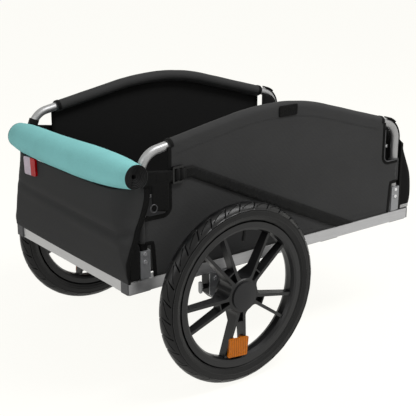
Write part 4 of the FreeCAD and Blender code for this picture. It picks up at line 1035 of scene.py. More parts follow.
@dataclass(frozen=True)
class HoopLine:
    """The middle line of a hoop, in (along, z)."""

    rear: float = 45.0
    front: float = 773.0
    apex: float = 386.0
    top: float = 564.0
    foot: float = 282.0
    rear_arc: float = 700.0
    front_arc: float = 520.0
    rear_slope: float = 9.8
    front_slope: float = 16.8
    bend: float = 45.0
    bend_step: float = 3.5
    arch_floor: float = 430.0

    def points(self, step: float = 6.0) -> list[Point3]:
        """The line from the rear foot to the front one.

        Args:
            step: The longest distance between points, outside the two bends.

        Returns:
            Each point as (along, z, heading), where the heading is 90 degrees going up.
        """
        rear, front = math.radians(self.rear_slope), math.radians(self.front_slope)
        quarter = math.pi / 2
        rear_end = (self.apex - self.rear_arc * math.sin(rear),
                    self.top - self.rear_arc * (1 - math.cos(rear)))
        front_end = (self.apex + self.front_arc * math.sin(front),
                     self.top - self.front_arc * (1 - math.cos(front)))
        rear_z = (rear_end[1] - (rear_end[0] - self.rear) * math.tan(rear)
                  - self.bend * math.tan((quarter - rear) / 2))
        front_z = (front_end[1] - (self.front - front_end[0]) * math.tan(front)
                   - self.bend * math.tan((quarter - front) / 2))
        found: list[Point3] = []

        def straight(a: Point2, b: Point2) -> None:
            """Adds a straight run.

            Args:
                a: Its start.
                b: Its end.
            """
            heading = math.atan2(b[1] - a[1], b[0] - a[0])
            count = max(1, math.ceil(math.dist(a, b) / step))
            for i in range(count):
                found.append((a[0] + (b[0] - a[0]) * i / count, a[1] + (b[1] - a[1]) * i / count, heading))

        def arc(centre: Point2, radius: float, start: float, stop: float, longest: float) -> None:
            """Adds an arc that turns clockwise.

            Args:
                centre: Its centre.
                radius: Its radius.
                start: The heading at its start.
                stop: The heading at its end.
                longest: The longest distance between points.
            """
            count = max(2, math.ceil(abs(start - stop) * radius / longest))
            for i in range(count):
                heading = start + (stop - start) * i / count
                at = (centre[0] - radius * math.sin(heading), centre[1] + radius * math.cos(heading))
                found.append((*at, heading))

        straight((self.rear, self.foot), (self.rear, rear_z))
        arc((self.rear + self.bend, rear_z), self.bend, quarter, rear, self.bend_step)
        straight(found[-1][:2], rear_end)
        arc((self.apex, self.top - self.rear_arc), self.rear_arc, rear, 0, step)
        arc((self.apex, self.top - self.front_arc), self.front_arc, 0, -front, step)
        bend_middle = (self.front - self.bend, front_z)
        straight(front_end, turned(bend_middle, self.bend, quarter - front))
        arc(bend_middle, self.bend, -front, -quarter, self.bend_step)
        straight((self.front, front_z), (self.front, self.foot))
        found.append((self.front, self.foot, -quarter))
        return found

    def height(self, along: float) -> float:
        """Finds the line's height at a place between the two legs.

        Args:
            along: The place's along distance.

        Returns:
            The height.
        """
        line = [p for p in self.points() if p[1] > self.arch_floor]
        for a, b in zip(line, line[1:]):
            if a[0] <= along <= b[0] and b[0] > a[0]:
                return a[1] + (b[1] - a[1]) * (along - a[0]) / (b[0] - a[0])
        return line[-1][1]


HOOP = HoopLine()


# Side walls


@dataclass(frozen=True)
class Binding:
    """A tape folded over a cloth's edge, as half of its section from its nose inwards."""

    half: tuple[Point2, ...]

    def on(self, edge: Sequence[Vector], into: Ask, across: Ask, from_nose: bool = False,
           stretch: Callable[[int], float] = lambda index: 1.0) -> Shape:
        """Folds the tape over an edge, with the directions into the cloth and through it."""
        return swept(edge, mirrored(self.half, from_nose), into, across, stretch=stretch)


def into_wall(path: Sequence[Vector]) -> Ask:
    """Finds the direction from a side wall's edge into its cloth.

    Args:
        path: The edge's points in metres, with the cloth on its left.

    Returns:
        A function that gives the direction at a point of the edge.
    """

    def inwards(index: int) -> Vector:
        """The direction at one point of the edge."""
        run = ahead(path, index)
        return Vector((-run.z, 0, run.x)).normalized()

    return inwards


@dataclass
class SideWall:
    """A cloth side wall with its sleeve, bindings, patch, strap, buckle threads and gusset."""

    side: Side
    middle: float = 11.6
    thick: float = 1.2
    bottom: float = 259.0
    rear_hole: float = 104.0
    front_hole: float = 727.0
    hole_bottom: float = 389.0
    leg_sleeve: float = 331.0
    rear_cut: Point2 = (65.5, 60.5)
    front_cut: Point2 = (752.0, 756.0)
    corner: float = 14.0
    corner_steps: int = 5
    face_out: float = 0.7
    cloth_step: float = 9.0

    # The cloth's slackness: how it is held at its edges and at the buckle, and its unevenness
    slack: float = 0.35
    slack_span: Point2 = (60.0, 742.0)
    arch_span: Point2 = (110.0, 720.0)
    arch_hold: float = 6.0
    foot_ease: float = 1.4
    slack_ease: float = 60.0
    buckle: Point2 = (124.0, 467.0)
    buckle_hold: float = 26.0
    buckle_ease: float = 50.0
    swell: Unevenness = Unevenness(1.5, 0.006, 0.009, 3.7)
    pull: Unevenness = Unevenness(0.6, 0.004, 0.004, 9.1)
    pull_waves: Point2 = (0.021, 0.034)

    # The sleeve round the hoop, whose section ends under the wall
    sleeve_steps: int = 14
    sleeve_tail: tuple[Point2, ...] = ((-5.0, -10.6), (-9.5, -7.0), (-12.6, -1.5), (-14.4, 4.5), (-16.2, 9.7))
    sleeve_map: float = 2.6
    sleeve_ripple: float = 0.5
    sleeve_waves: Point2 = (0.03, 0.35)

    binding: Binding = Binding(((-1.3, 0.0), (-0.9, 0.9), (0.5, 1.35), (6.5, 1.35), (7.5, 1.15)))
    binding_seam: Point2 = (5.6, 1.4)
    arch_seams: tuple[tuple[str, float], ...] = (("upper", 17.5), ("lower", 20.0))
    # The hem's height above the foot, then its start, end and step along
    foot_seam: float = 12.0
    foot_seam_span: tuple[int, int, int] = (76, 744, 8)

    patch_rear: float = 394.0
    patch_front: float = 446.0
    patch_low: float = 545.5
    patch_high: float = 569.5
    patch_corner: float = 2.0
    patch_inset: float = 2.2
    patch_y: float = 236.0
    patch_thick: float = 1.1
    patch_pile: Point2 = (0.35, 900.0)

    # The strap's middle line, and its sewn box's rear, front, low and high edges
    strap_start: Point2 = (142.0, 467.0)
    strap_bend: Point2 = (161.0, 467.0)
    strap_foot: Point2 = (605.0, 259.0)
    strap_width: float = 24.5
    strap_thick: float = 1.5
    strap_y: float = 235.5
    strap_step: float = 7.0
    strap_box: tuple[float, float, float, float] = (150.0, 160.0, 460.0, 474.0)
    thread_size: Point2 = (23.6, 1.1)
    thread_route: tuple[Point2, ...] = (
        (148, 236.5), (143, 237.4), (139.8, 239.8), (138, 241.2), (136, 241.7), (134, 241.2), (132.2, 239.6),
        (130.2, 238.2), (128.2, 239.6), (126.6, 241.2), (124.5, 241.7), (122.6, 241.2), (121.0, 239.6),
        (119.6, 237.6),
    )

    gusset_outline: tuple[Point2, ...] = (
        (724, 394), (732, 384), (772, 384), (772, 440), (768, 457), (757, 469), (742, 477), (724, 481),
    )
    # Where the gusset lies, and how it comes out to meet the sleeves below and beside it
    gusset_y: float = 207.1
    gusset_meet: float = 3.5
    gusset_low_ease: Point2 = (396.0, 8.0)
    gusset_rear_ease: Point2 = (733.0, 6.0)
    gusset_step: float = 7.0
    gusset_thick: float = 0.6
    snap: Point2 = (763.0, 417.0)
    snap_y: float = 207.6
    snap_profile: tuple[Point2, ...] = ((5.0, 0.0), (4.9, 0.8), (4.2, 1.7), (2.6, 2.4), (0.3, 2.6))
    snap_steps: int = 18

    # The bands round the hoop: the steps of a part turn and a full one, then radii and widths
    wrap_thick: float = 1.3
    wrap_steps: tuple[int, int] = (24, 36)
    full_turn: Point2 = (0.0, 360.0)
    sleeve_end: tuple[float, float, Point2] = (12.85, 8.0, (-8.0, 205.0))
    cuff_z: float = 330.0
    cuff_size: Point2 = (10.3, 24.0)
    tie_near: Point2 = (47.5, 494.0)
    tie_size: Point2 = (10.7, 21.0)
    tie_step: float = 2.0

    # The strap and fold round the front bend. An arc is two angles in degrees and a reach
    front_bend_z: float = 436.9
    front_strap_arc: tuple[float, float, float] = (14.0, 90.0, 55.9)
    front_strap_tail: tuple[Point2, ...] = ((784.4, 432.0), (785.6, 426.0), (786.4, 420.0))
    front_strap_size: Point2 = (13.0, 1.4)
    front_fold_arc: tuple[float, float, float] = (13.0, 42.0, 58.3)
    front_fold_size: Point2 = (15.0, 2.6)
    front_arc_steps: int = 16

    # A pale cord along the front hand hole's lower edge, a painted highlight on the binding's edge
    highlight_top: float = 470.0
    highlight_out: float = 1.9
    highlight_radius: float = 1.1
    highlight_steps: int = 8

    @property
    def carrier(self) -> Carrier:
        """The hoop that the wall rides on."""
        return Carrier(f"hoop_{self.side.word}", self.side)

    def billow(self, along: float, z: float) -> float:
        """Finds how far the cloth stands out from its flat plane at a place.

        Args:
            along: The place's along distance.
            z: Its height.

        Returns:
            The distance.
        """
        over = HOOP.height(clamp(along, *self.arch_span)) - z + self.arch_hold
        rear, front = self.slack_span
        reach = min(along - rear, front - along, (z - self.bottom) * self.foot_ease, over)
        from_buckle = math.dist((along, z), self.buckle) - self.buckle_hold
        pull = self.pull.at(along, z) * math.sin(along * self.pull_waves[0] + z * self.pull_waves[1])
        held = smooth(reach / self.slack_ease) * smooth(from_buckle / self.buckle_ease)
        return held * (self.slack + self.swell.at(along, z) + pull)

    def on_wall(self, along: float, z: float, out: float = 0.0) -> Vector:
        """A point in metres at a distance outside the cloth's middle."""
        return world(along, -(LEG_Y + self.middle + self.billow(along, z) + out), z)

    def outline(self) -> list[Point2]:
        """Draws the flat cloth's outline, up to the hoop's middle line.

        Returns:
            The points, as (along, z).
        """
        inset = 2.0
        rear, front = self.rear_hole - self.corner, self.front_hole + self.corner
        high = self.hole_bottom + self.corner
        turns = [i / self.corner_steps * math.pi / 2 for i in range(self.corner_steps + 1)]
        arch = [(a, z) for a, z, _ in HOOP.points()
                if self.rear_hole + inset < a < self.front_hole - inset and z > HOOP.arch_floor]
        return [
            (self.rear_cut[0], self.bottom), (self.front_cut[0], self.bottom),
            (self.front_cut[1], self.leg_sleeve), (HOOP.front, self.leg_sleeve),
            (HOOP.front, self.hole_bottom),
            *[(front - self.corner * math.sin(t), high - self.corner * math.cos(t)) for t in turns],
            (self.front_hole, HOOP.height(self.front_hole)), *arch[::-1],
            (self.rear_hole, HOOP.height(self.rear_hole)),
            *[(rear + self.corner * math.cos(t), high - self.corner * math.sin(t)) for t in turns],
            (HOOP.rear, self.hole_bottom), (HOOP.rear, self.leg_sleeve), (self.rear_cut[1], self.leg_sleeve),
        ]

    def runs(self) -> dict[str, list[Point3]]:
        """Finds the three runs of the hoop that the sleeve covers.

        Returns:
            The points of each run, by its name.
        """
        low, high = self.leg_sleeve - 1, self.hole_bottom + 1
        rear, front = self.rear_hole - 1, self.front_hole + 1
        line = HOOP.points()
        return {
            "arch": [p for p in line if rear < p[0] < front and p[1] > HOOP.arch_floor],
            "rear_leg": [p for p in line if p[0] < HOOP.rear + 1 and low < p[1] < high],
            "front_leg": [p for p in line if p[0] > HOOP.front - 1 and low < p[1] < high],
        }

    def sleeve(self, line: Sequence[Point3]) -> Shape:
        """The sleeve round one run of the hoop.

        Args:
            line: The run's points as (along, z, heading).

        Returns:
            The shape.
        """
        turn = [i * math.pi / self.sleeve_steps for i in range(self.sleeve_steps + 1)]
        section = [(self.middle * math.sin(t), self.middle * math.cos(t)) for t in turn]
        section += self.sleeve_tail
        lengthwise, crosswise = self.sleeve_waves
        shape = Shape()
        rows = []
        run = 0.0
        before = line[0][:2]
        for a, z, heading in line:
            run += math.dist(before, (a, z))
            before = (a, z)
            up = Vector((-math.sin(heading), 0, math.cos(heading)))
            row = []
            for index, (rise, out) in enumerate(section):
                soft = noise.noise(Vector((a * lengthwise, z * lengthwise, index * crosswise)))
                ease = self.sleeve_ripple * soft if 2 < index < self.sleeve_steps else 0.0
                point = world(a, -(LEG_Y + out), z) + up * (rise + ease) * MM
                row.append(shape.add(point, (run, index * self.sleeve_map)))
            rows.append(row)
        shape.grid(rows[::-1])
        return shape

    def build_cloth(self) -> None:
        """Makes the wall itself and its three sleeves."""
        word = self.side.word
        runs = self.runs()
        cloth = cut_cloth(self.outline(), self.on_wall, self.cloth_step)
        cloth.join(self.sleeve(runs.pop("arch")))
        # The wall's inner face takes the near-black lining, partly painted shade inside the trailer
        piece = self.carrier.add(cloth, "side_wall_cloth", ["wall_cloth", "lining_and_painted_shade"], "wall_cloth",
                                 f"side_wall_{word}", thick=self.thick, weld=0.3)
        sleeves = [
            self.carrier.add(self.sleeve(line), f"wall_sleeve_{name}", ["wall_cloth"], "wall_cloth",
                             thick=self.thick)
            for name, line in runs.items()
        ]

    def edge_lines(self) -> dict[str, list[Point2]]:
        """Finds the four bound edges.

        Returns:
            The (along, z) points of each, by its name, with the cloth on their left.
        """
        outline = divided(self.outline(), 6.0)
        beside_leg = 2.0
        rear_leg, front_leg = HOOP.rear + beside_leg, HOOP.front - beside_leg

        def between(first: Point2, last: Point2) -> list[Point2]:
            """Takes the outline's points from one corner to another.

            Args:
                first: The first corner.
                last: The last one.

            Returns:
                The points.
            """
            start = min(range(len(outline)), key=lambda i: math.dist(outline[i], first))
            stop = min(range(len(outline)), key=lambda i: math.dist(outline[i], last))
            count = (stop - start) % len(outline)
            return [outline[(start + i) % len(outline)] for i in range(count + 1)]

        return {
            "front_hinge": between((self.front_cut[0], self.bottom), (front_leg, self.leg_sleeve)),
            "front_hole": between((front_leg, self.hole_bottom),
                                  (self.front_hole, HOOP.height(self.front_hole))),
            "rear_hole": between((self.rear_hole, HOOP.height(self.rear_hole)), (rear_leg, self.hole_bottom)),
            "rear_hinge": between((rear_leg, self.leg_sleeve), (self.rear_cut[0], self.bottom)),
        }

    def build_bindings(self) -> None:
        """Folds a tape over each cut edge and sews it down."""
        depth, out = self.binding_seam
        for name, line in self.edge_lines().items():
            path = [self.on_wall(a, z) for a, z in line]
            into = into_wall(path)
            bound = self.binding.on(path, into, always(ACROSS))
            self.carrier.add(bound, f"binding_{name}", ["binding_black"], "webbing")
            seam = [p + into(i) * depth * MM - ACROSS * out * MM for i, p in enumerate(path)]
            self.carrier.sew(seam, always(-ACROSS), Seam.BINDING, f"binding_stitches_{name}")

    def build_seams(self) -> None:
        """Sews the sleeve under the arch and hems the wall's foot."""
        arch = self.runs()["arch"][2:-2]
        rows = {
            f"sleeve_stitches_{name}": [(a + math.sin(h) * drop, z - math.cos(h) * drop) for a, z, h in arch]
            for name, drop in self.arch_seams
        }
        rows["foot_stitches"] = [(a, self.bottom + self.foot_seam) for a in range(*self.foot_seam_span)]
        for name, line in rows.items():
            path = [self.on_wall(a, z, self.face_out) for a, z in line]
            self.carrier.sew(path, always(-ACROSS), Seam.HEM, name, "wall_cloth", "thread_cloth")

    def build_patch(self) -> None:
        """Makes the hook patch by the arch's top and its sewn border."""
        word = self.side.word
        cut = self.patch_corner
        rear, front, low, high = self.patch_rear, self.patch_front, self.patch_low, self.patch_high
        outline = [(rear + cut, low), (front - cut, low), (front, low + cut), (front, high - cut),
                   (front - cut, high), (rear + cut, high), (rear, high - cut), (rear, low + cut)]
        shape = cut_cloth(outline, lambda a, z: world(a, -self.patch_y, z), 3.5)
        height, scale = self.patch_pile
        for point in shape.points:
            point.y -= height * MM * noise.noise(point * scale)
        piece = self.carrier.add(shape, "hook_patch", ["hook_pile"], "hook_patch", f"velcro_patch_{word}",
                                 thick=self.patch_thick)
        inset = self.patch_inset
        corners = [(rear + inset, low + inset), (front - inset, low + inset), (front - inset, high - inset),
                   (rear + inset, high - inset), (rear + inset, low + inset)]
        path = [world(a, -self.patch_y - self.face_out, z) for a, z in divided(corners, 8)]
        self.carrier.sew(path, always(-ACROSS), Seam.PATCH, "hook_patch_stitches", "hook_patch")

    def build_strap(self) -> None:
        """Makes the side strap, its thread through the buckle and the stitches by the buckle."""
        start, bend, foot = self.strap_start, self.strap_bend, self.strap_foot
        half = self.strap_width / 2
        slope = math.atan2(foot[1] - bend[1], foot[0] - bend[0])
        turn = half * math.tan(-slope / 2)
        spread = half / -math.sin(slope)
        outline = [
            (start[0], start[1] - half), (bend[0] - turn, bend[1] - half), (foot[0] - spread, foot[1]),
            (foot[0] + spread, foot[1]), (bend[0] + turn, bend[1] + half), (start[0], start[1] + half),
        ]
        lift = self.strap_y + self.strap_thick / 2 - LEG_Y - self.middle
        word = self.side.word
        shape = cut_cloth(outline, lambda a, z: self.on_wall(a, z, lift), self.strap_step, slope)
        piece = self.carrier.add(shape, "side_strap_band", ["webbing_black"], "webbing", f"side_strap_{word}",
                                 thick=self.strap_thick)
        thread = tape([world(a, -y, start[1]) for a, y in self.thread_route], UP, *self.thread_size)
        band = self.carrier.add(thread, "side_strap_thread", ["webbing_black"], "webbing")
        rear, front, low, high = self.strap_box
        box = [(rear, high), (rear, low), (front, low), (front, high)]
        cross = [(rear, high), (front, low), (rear, low), (front, high)]
        path = [self.on_wall(a, z, lift + 0.9) for a, z in divided(box + cross, 20)]
        self.carrier.sew(path, always(-ACROSS), Seam.STRAP, "side_strap_stitches")

    def build_gusset(self) -> None:
        """Makes the inner cloth behind the front hand hole, with its snap."""
        outline = self.gusset_outline
        low, low_ease = self.gusset_low_ease
        rear, rear_ease = self.gusset_rear_ease

        def place(a: float, z: float) -> Vector:
            """A point of the cloth, which meets the sleeves below and beside it."""
            meet = max(smooth((low - z) / low_ease), smooth((rear - a) / rear_ease))
            return world(a, -(self.gusset_y + self.gusset_meet * meet), z)

        shape = cut_cloth(outline, place, self.gusset_step)
        piece = self.carrier.add(shape, "hand_hole_gusset_front", ["lining_and_painted_shade"], "wall_cloth",
                                 thick=self.gusset_thick)
        snap = Shape()
        rows = []
        angles = [i * math.tau / self.snap_steps for i in range(self.snap_steps)]
        for radius, height in self.snap_profile:
            spots = [turned(self.snap, radius, angle) for angle in angles]
            rows.append([snap.add(world(a, -(self.snap_y + height), z)) for a, z in spots])
        snap.grid(rows, closed=True)
        snap.face(rows[-1])
        snap.face(rows[0][::-1])
        self.carrier.add(snap, "gusset_snap", ["bright_zinc"], "fastener_steel")

    def wrap(self, name: str, at: Point3, radius: float, width: float, turns: Point2, finish: str) -> None:
        """Lays a band of tape round the hoop.

        Args:
            name: The piece's name.
            at: The hoop's point as (along, z, heading).
            radius: The band's middle radius.
            width: The band's width along the hoop.
            turns: The first and last angle in degrees, from straight outwards over the top.
            finish: The finish's name.
        """
        heading = Vector((math.cos(at[2]), 0, math.sin(at[2])))
        up = Vector((-heading.z, 0, heading.x))
        middle = world(at[0], -LEG_Y, at[1])
        first, last = turns
        closed = turns == self.full_turn
        count = self.wrap_steps[closed]
        steps = range(count if closed else count + 1)
        angles = [math.radians(first + (last - first) * i / count) for i in steps]
        path = [middle + (up * math.sin(t) - ACROSS * math.cos(t)) * radius * MM for t in angles]
        section = flat_section(width, self.wrap_thick)
        shape = swept(path, section, lambda i: (path[i] - middle).normalized(), always(heading), closed)
        self.carrier.add(shape, name, [finish], "webbing")

    def build_wraps(self) -> None:
        """Binds the sleeves' ends, and makes the cuff over the rear foot and the tie by the roll."""
        arch = self.runs()["arch"]
        for name, at in (("rear", arch[1]), ("front", arch[-2])):
            self.wrap(f"sleeve_end_{name}", at, *self.sleeve_end, "binding_black")
        leg = (HOOP.rear, self.cuff_z, math.pi / 2)
        self.wrap("rear_leg_cuff", leg, *self.cuff_size, self.full_turn, "binding_black")
        if self.side is Side.LEFT:
            tie = min(HOOP.points(self.tie_step), key=lambda p: math.dist(p[:2], self.tie_near))
            self.wrap("rear_tie", tie, *self.tie_size, self.full_turn, "webbing_black")

    def build_front_strap(self) -> None:
        """Makes the strap that holds the front panel's corner to the hoop's front bend."""
        centre = (HOOP.front - HOOP.bend, self.front_bend_z)

        def round_bend(start: float, stop: float, reach: float) -> list[Vector]:
            """Lays points round the bend's outer side.

            Args:
                start: The first angle in degrees from the top.
                stop: The last one.
                reach: The distance from the bend's centre.

            Returns:
                The points in metres.
            """
            steps = self.front_arc_steps
            angles = [math.radians(start + (stop - start) * i / steps) for i in range(steps + 1)]
            spots = [(centre[0] + reach * math.sin(t), centre[1] + reach * math.cos(t)) for t in angles]
            return [world(a, -LEG_Y, z) for a, z in spots]

        tail = [world(a, -LEG_Y, z) for a, z in self.front_strap_tail]
        band = tape(round_bend(*self.front_strap_arc) + tail, ACROSS, *self.front_strap_size)
        self.carrier.add(band, "front_corner_strap", ["webbing_black"], "webbing")
        fold = tape(round_bend(*self.front_fold_arc), ACROSS, *self.front_fold_size)
        self.carrier.add(fold, "front_corner_fold", ["webbing_black"], "webbing")

    def build_highlight_cord(self) -> None:
        """Runs a pale cord round the front hand hole's lower corner, a painted highlight along the binding's
        edge.
        """
        line = [p for p in self.edge_lines()["front_hole"] if p[1] < self.highlight_top]
        path = [self.on_wall(a, z, self.highlight_out) for a, z in line]
        steps = self.highlight_steps
        section = [turned((0.0, 0.0), self.highlight_radius, i * math.tau / steps) for i in range(steps)]
        cord = swept(path, section, into_wall(path), always(ACROSS))
        self.carrier.add(cord, "hand_hole_highlight_cord", ["binding_highlight_grey"], "webbing")

    def build(self) -> None:
        """Makes every piece of the wall."""
        self.build_cloth()
        self.build_bindings()
        self.build_seams()
        self.build_patch()
        self.build_strap()
        self.build_gusset()
        self.build_wraps()
        self.build_front_strap()
        self.build_highlight_cord()


# Rear panel and the rolled cover


@dataclass
class RolledCover:
    """The rain cover, a sheet wound into a roll along the rear panel's top."""

    right: float = -267.0
    left: float = 213.0
    radius: float = 36.4
    reach_shares: tuple[float, ...] = (0.76, 0.95, 1.05, 1.07, 1.05, 1.03, 1.02, 1.01, 0.98, 0.86)
    end_along: float = 6.5
    bow: float = 17.0
    crown: float = 4.0
    right_z: float = 487.7
    left_z: float = 475.3
    pitch: float = 3.7
    turns: float = 7.5
    lap_angle: float = -116.0
    thick: float = 1.3
    band: float = 6.0
    band_shares: tuple[float, ...] = (0.0, 0.35, 0.7, 1.0)
    steps: int = 44
    stations: int = 37
    slack: float = 0.5
    map_scale: float = 200.0

    # How the inner turns draw in at the roll's ends, and the outer cloth's softness and end pinch
    recess: float = 9.0
    recess_ripple: float = 1.2
    recess_ease: float = 0.4
    recess_waves: Point2 = (0.9, 5.0)
    softness: float = 0.45
    soft_waves: Point2 = (0.012, 1.3)
    pinch: float = 0.6
    pinch_ease: float = 26.0

    seam_inset: float = 2.0
    seam_drop: float = 1.7
    seam_draw: float = 0.9

    @property
    def length(self) -> float:
        """The roll's length."""
        return self.left - self.right

    def middle(self, y: float) -> Point2:
        """Finds the roll's middle.

        Args:
            y: The place's y.

        Returns:
            The middle there, as (along, z).
        """
        share = (y - self.right) / self.length
        bend = math.sin(math.pi * clamp(share, 0.0, 1.0))
        z = self.right_z + (self.left_z - self.right_z) * share + self.crown * bend
        return self.end_along - self.bow * bend, z

    def reach(self, y: float) -> float:
        """The roll's outer radius at a y."""
        share = (y - self.right) / self.length
        return self.radius * curve_value(self.reach_shares, share * (len(self.reach_shares) - 1))

    def angle(self, wound: float) -> float:
        """The angle in radians that the sheet has come to after a number of turns."""
        return math.radians(self.lap_angle + 360) - wound * math.tau

    def places(self) -> list[float]:
        """Spaces the columns, closer together in the end bands.

        Returns:
            Each column's distance from the sheet's right edge.
        """
        first = [share * self.band for share in self.band_shares]
        between = self.length - 2 * self.band
        inner = [self.band + i / self.stations * between for i in range(1, self.stations)]
        return first + inner + [self.length - place for place in reversed(first)]

    def spot(self, wound: float, place: float) -> Vector:
        """A point of the wound sheet.

        Args:
            wound: The turns from its outer edge.
            place: The distance from its right edge.

        Returns:
            The point in metres.
        """
        inner = wound / self.turns
        ripple = noise.noise(Vector((wound * self.recess_waves[0], self.recess_waves[1], 0)))
        recess = self.recess * inner + self.recess_ripple * ripple * (self.recess_ease + inner)
        y = self.right + recess + place / self.length * (self.length - 2 * recess)
        along, z = self.middle(self.right + place)
        scale = self.reach(self.right + place) / self.radius
        angle = self.angle(wound)
        fine, coarse = self.soft_waves
        where = Vector((y * fine, math.cos(angle) * coarse, math.sin(angle) * coarse))
        soft = self.softness * noise.noise(where)
        ends = smooth(1 - place / self.pinch_ease) + smooth(1 - (self.length - place) / self.pinch_ease)
        coil = self.radius - self.thick / 2 - self.slack - self.pitch * wound
        radius = scale * coil + soft * (1 - inner) - self.pinch * ends
        return world(along - radius * math.cos(angle), y, z + radius * math.sin(angle))

    def build(self) -> None:
        """Winds the sheet and sews its end bands."""
        carrier = Carrier("rear_panel")
        shape = Shape()
        places = self.places()
        rows = []
        for step in range(int(self.turns * self.steps) + 1):
            wound = step / self.steps
            run = wound * self.map_scale
            rows.append([shape.add(self.spot(wound, place), (run, place)) for place in places])
        ends = (0, len(places) - 2)
        shape.grid(rows, slot=lambda row, column: int(column in ends or row >= self.steps))
        # The lining faces' rims take the third finish, painted highlights on the layer edges at the roll's
        # ends
        finishes = ["cover_teal", "cover_lining", "cover_hem"]
        piece = carrier.add(shape, "rolled_cover_sheet", finishes, "cover_cloth", "rolled_cover",
                            thick=self.thick, rim=1, sharp=60)
        for name, y in (("right", self.right + self.band - self.seam_inset),
                        ("left", self.left - self.band + self.seam_inset)):
            along, z = self.middle(y)
            centre = world(along, y, z)
            path = []
            for step in range(self.steps + 1):
                angle = self.angle(step / self.steps)
                radius = self.reach(y) - self.seam_drop - self.pitch * self.seam_draw * step / self.steps
                path.append(world(along - radius * math.cos(angle), y, z + radius * math.sin(angle)))
            outwards = [(point - centre).normalized() for point in path]
            carrier.sew(path, outwards.__getitem__, Seam.COVER, f"cover_end_stitches_{name}", "cover_cloth")


@dataclass
class RearPanel:
    """The cloth panel between the hoops at the rear, with its bindings, reflector and corner straps."""

    cover: RolledCover
    half_width: float = 239.0
    foot: float = 258.4
    step: float = 18.0
    back: tuple[float, ...] = (
        0.0, -4.0, -6.0, -8.0, -9.0, -9.2, -9.2, -9.0, -9.0, -8.5, -8.0, -7.0, -6.0, -5.0,
    )
    corner: tuple[float, ...] = (
        4.0, 5.0, 10.5, 19.5, 27.0, 34.0, 39.0, 47.0, 54.0, 59.0, 61.5, 60.0, 58.0, 56.0,
    )
    least_corner: float = 2.5
    crown: float = 3.0
    left_ease: float = 11.0
    left_ease_steps: float = 2.5
    flap: float = 1.5
    flap_top: float = 462.0
    thick: float = 1.5
    corner_steps: int = 12
    face_steps: int = 45
    levels: int = 52
    cover_gap: float = 0.9

    # The fold across the panel: its line, its fading to both sides, and its valley and ridges
    # as (depth, distance above the line, width)
    crease_z: float = 365.0
    crease_tilt: float = 7.0
    crease_end: float = 3.0
    crease_fades: Point2 = (12.0, 70.0)
    crease_strength: Point2 = (0.95, -0.45)
    crease_waves: tuple[Point3, ...] = ((4.2, 0.0, 7.5), (-1.5, -17.0, 9.0), (-0.8, 19.0, 11.0))
    crease_turn: float = 0.9
    wrinkle_form: Unevenness = Unevenness(0.45, 0.008, 0.012, 1.3)
    wrinkle_reach: float = 230.0
    wrinkle_ease: float = 40.0

    hem_level: int = 3
    hem_ends: int = 16
    binding_width: float = 12.0
    binding_rim: float = 1.0
    least_stretch: float = 0.25

    heel_outline: tuple[Point2, ...] = (
        (5.0, 261.0), (27.0, 261.0), (30.5, 265.0), (30.5, 330.0), (27.0, 338.0), (17.0, 338.0),
        (11.0, 322.0), (6.0, 300.0),
    )
    heel_y: float = 236.3
    heel_draw: float = 0.4
    heel_ease: Point2 = (262.0, 20.0)
    heel_step: float = 6.0
    heel_thick: float = 0.7

    strap_outline: tuple[Point2, ...] = (
        (38.0, 454.0), (57.5, 454.3), (59.5, 404.8), (62.0, 402.6), (98, 394.6), (100.6, 396.6), (100.5, 455),
        (110.0, 455.5), (110.0, 478.5), (41.0, 489.0),
    )
    strap_y: float = 240.4
    # The strap's bow, as height, start and length, and its tab's slack, as amount, top and ease
    strap_bow: Point3 = (0.55, 38.0, 20.0)
    tab_slack: Point3 = (0.5, 440.0, 50.0)
    strap_thick: float = 1.5
    strap_step: float = 5.0
    strap_box: tuple[Point2, ...] = ((70, 458), (96, 458), (96, 476), (70, 480), (70, 458))
    strap_box_step: float = 9.0
    strap_seam_out: float = 0.9

    carrier: ClassVar[Carrier] = Carrier("rear_panel")

    def crease(self, y: float, z: float) -> float:
        """Finds how far the cloth dips inwards at the fold that crosses the panel.

        Args:
            y: The place's y.
            z: Its height.

        Returns:
            The distance.
        """
        above = z - (self.crease_z + self.crease_tilt * y / self.half_width)
        fade = smooth((self.half_width - abs(y) + self.crease_end) / self.crease_fades[y >= 0])
        strength, change = self.crease_strength
        waves = [depth * math.exp(-(((above - at) / width) ** 2)) for depth, at, width in self.crease_waves]
        return fade * (strength + change * y / self.half_width) * sum(waves)

    def wrinkle(self, y: float, z: float) -> float:
        """Finds the panel's small unevenness.

        Args:
            y: The place's y.
            z: Its height.

        Returns:
            How far the cloth is out there.
        """
        ease = self.wrinkle_ease
        hold = smooth((z - self.foot) / ease) * smooth((self.wrinkle_reach - abs(y)) / ease)
        return hold * self.wrinkle_form.at(y, z)

    def section(self, z: float) -> list[Point2]:
        """Draws the panel's middle line at a height.

        Args:
            z: The height.

        Returns:
            The points as (along, y), from the right flap to the left one.
        """
        place = (z - self.foot) / self.step
        outer = curve_value(self.back, place) + self.thick / 2
        corner = max(self.least_corner, curve_value(self.corner, place)) - self.thick / 2
        wide = corner + self.left_ease * smooth(place / self.left_ease_steps)
        half = self.half_width - self.thick / 2

        def bend(radius: float, side: Side) -> list[Point2]:
            """Draws the round corner on one side.

            Args:
                radius: The corner's radius.
                side: Its side.

            Returns:
                The points from its flap to the panel's face.
            """
            line = []
            for i in range(self.corner_steps + 1):
                t = i / self.corner_steps * math.pi / 2
                across = side.value * (half - radius + radius * math.cos(t))
                dip = self.crease(across, z) * smooth(t / self.crease_turn)
                inset = radius - dip
                y = side.value * (half - radius + inset * math.cos(t))
                line.append((outer + radius - inset * math.sin(t), y))
            return line

        flat = half - corner
        face: list[Point2] = []
        for i in range(1, self.face_steps):
            y = -flat + (flat + half - wide) * i / self.face_steps
            dished = outer - self.crown * (1 - (y / flat) ** 2)
            face.append((dished + self.crease(y, z) + self.wrinkle(y, z), y))
        right_tip = (outer + corner + self.flap, -half)
        left_tip = (outer + wide + self.flap, half)
        return [right_tip, *bend(corner, Side.RIGHT), *face, *bend(wide, Side.LEFT)[::-1], left_tip]

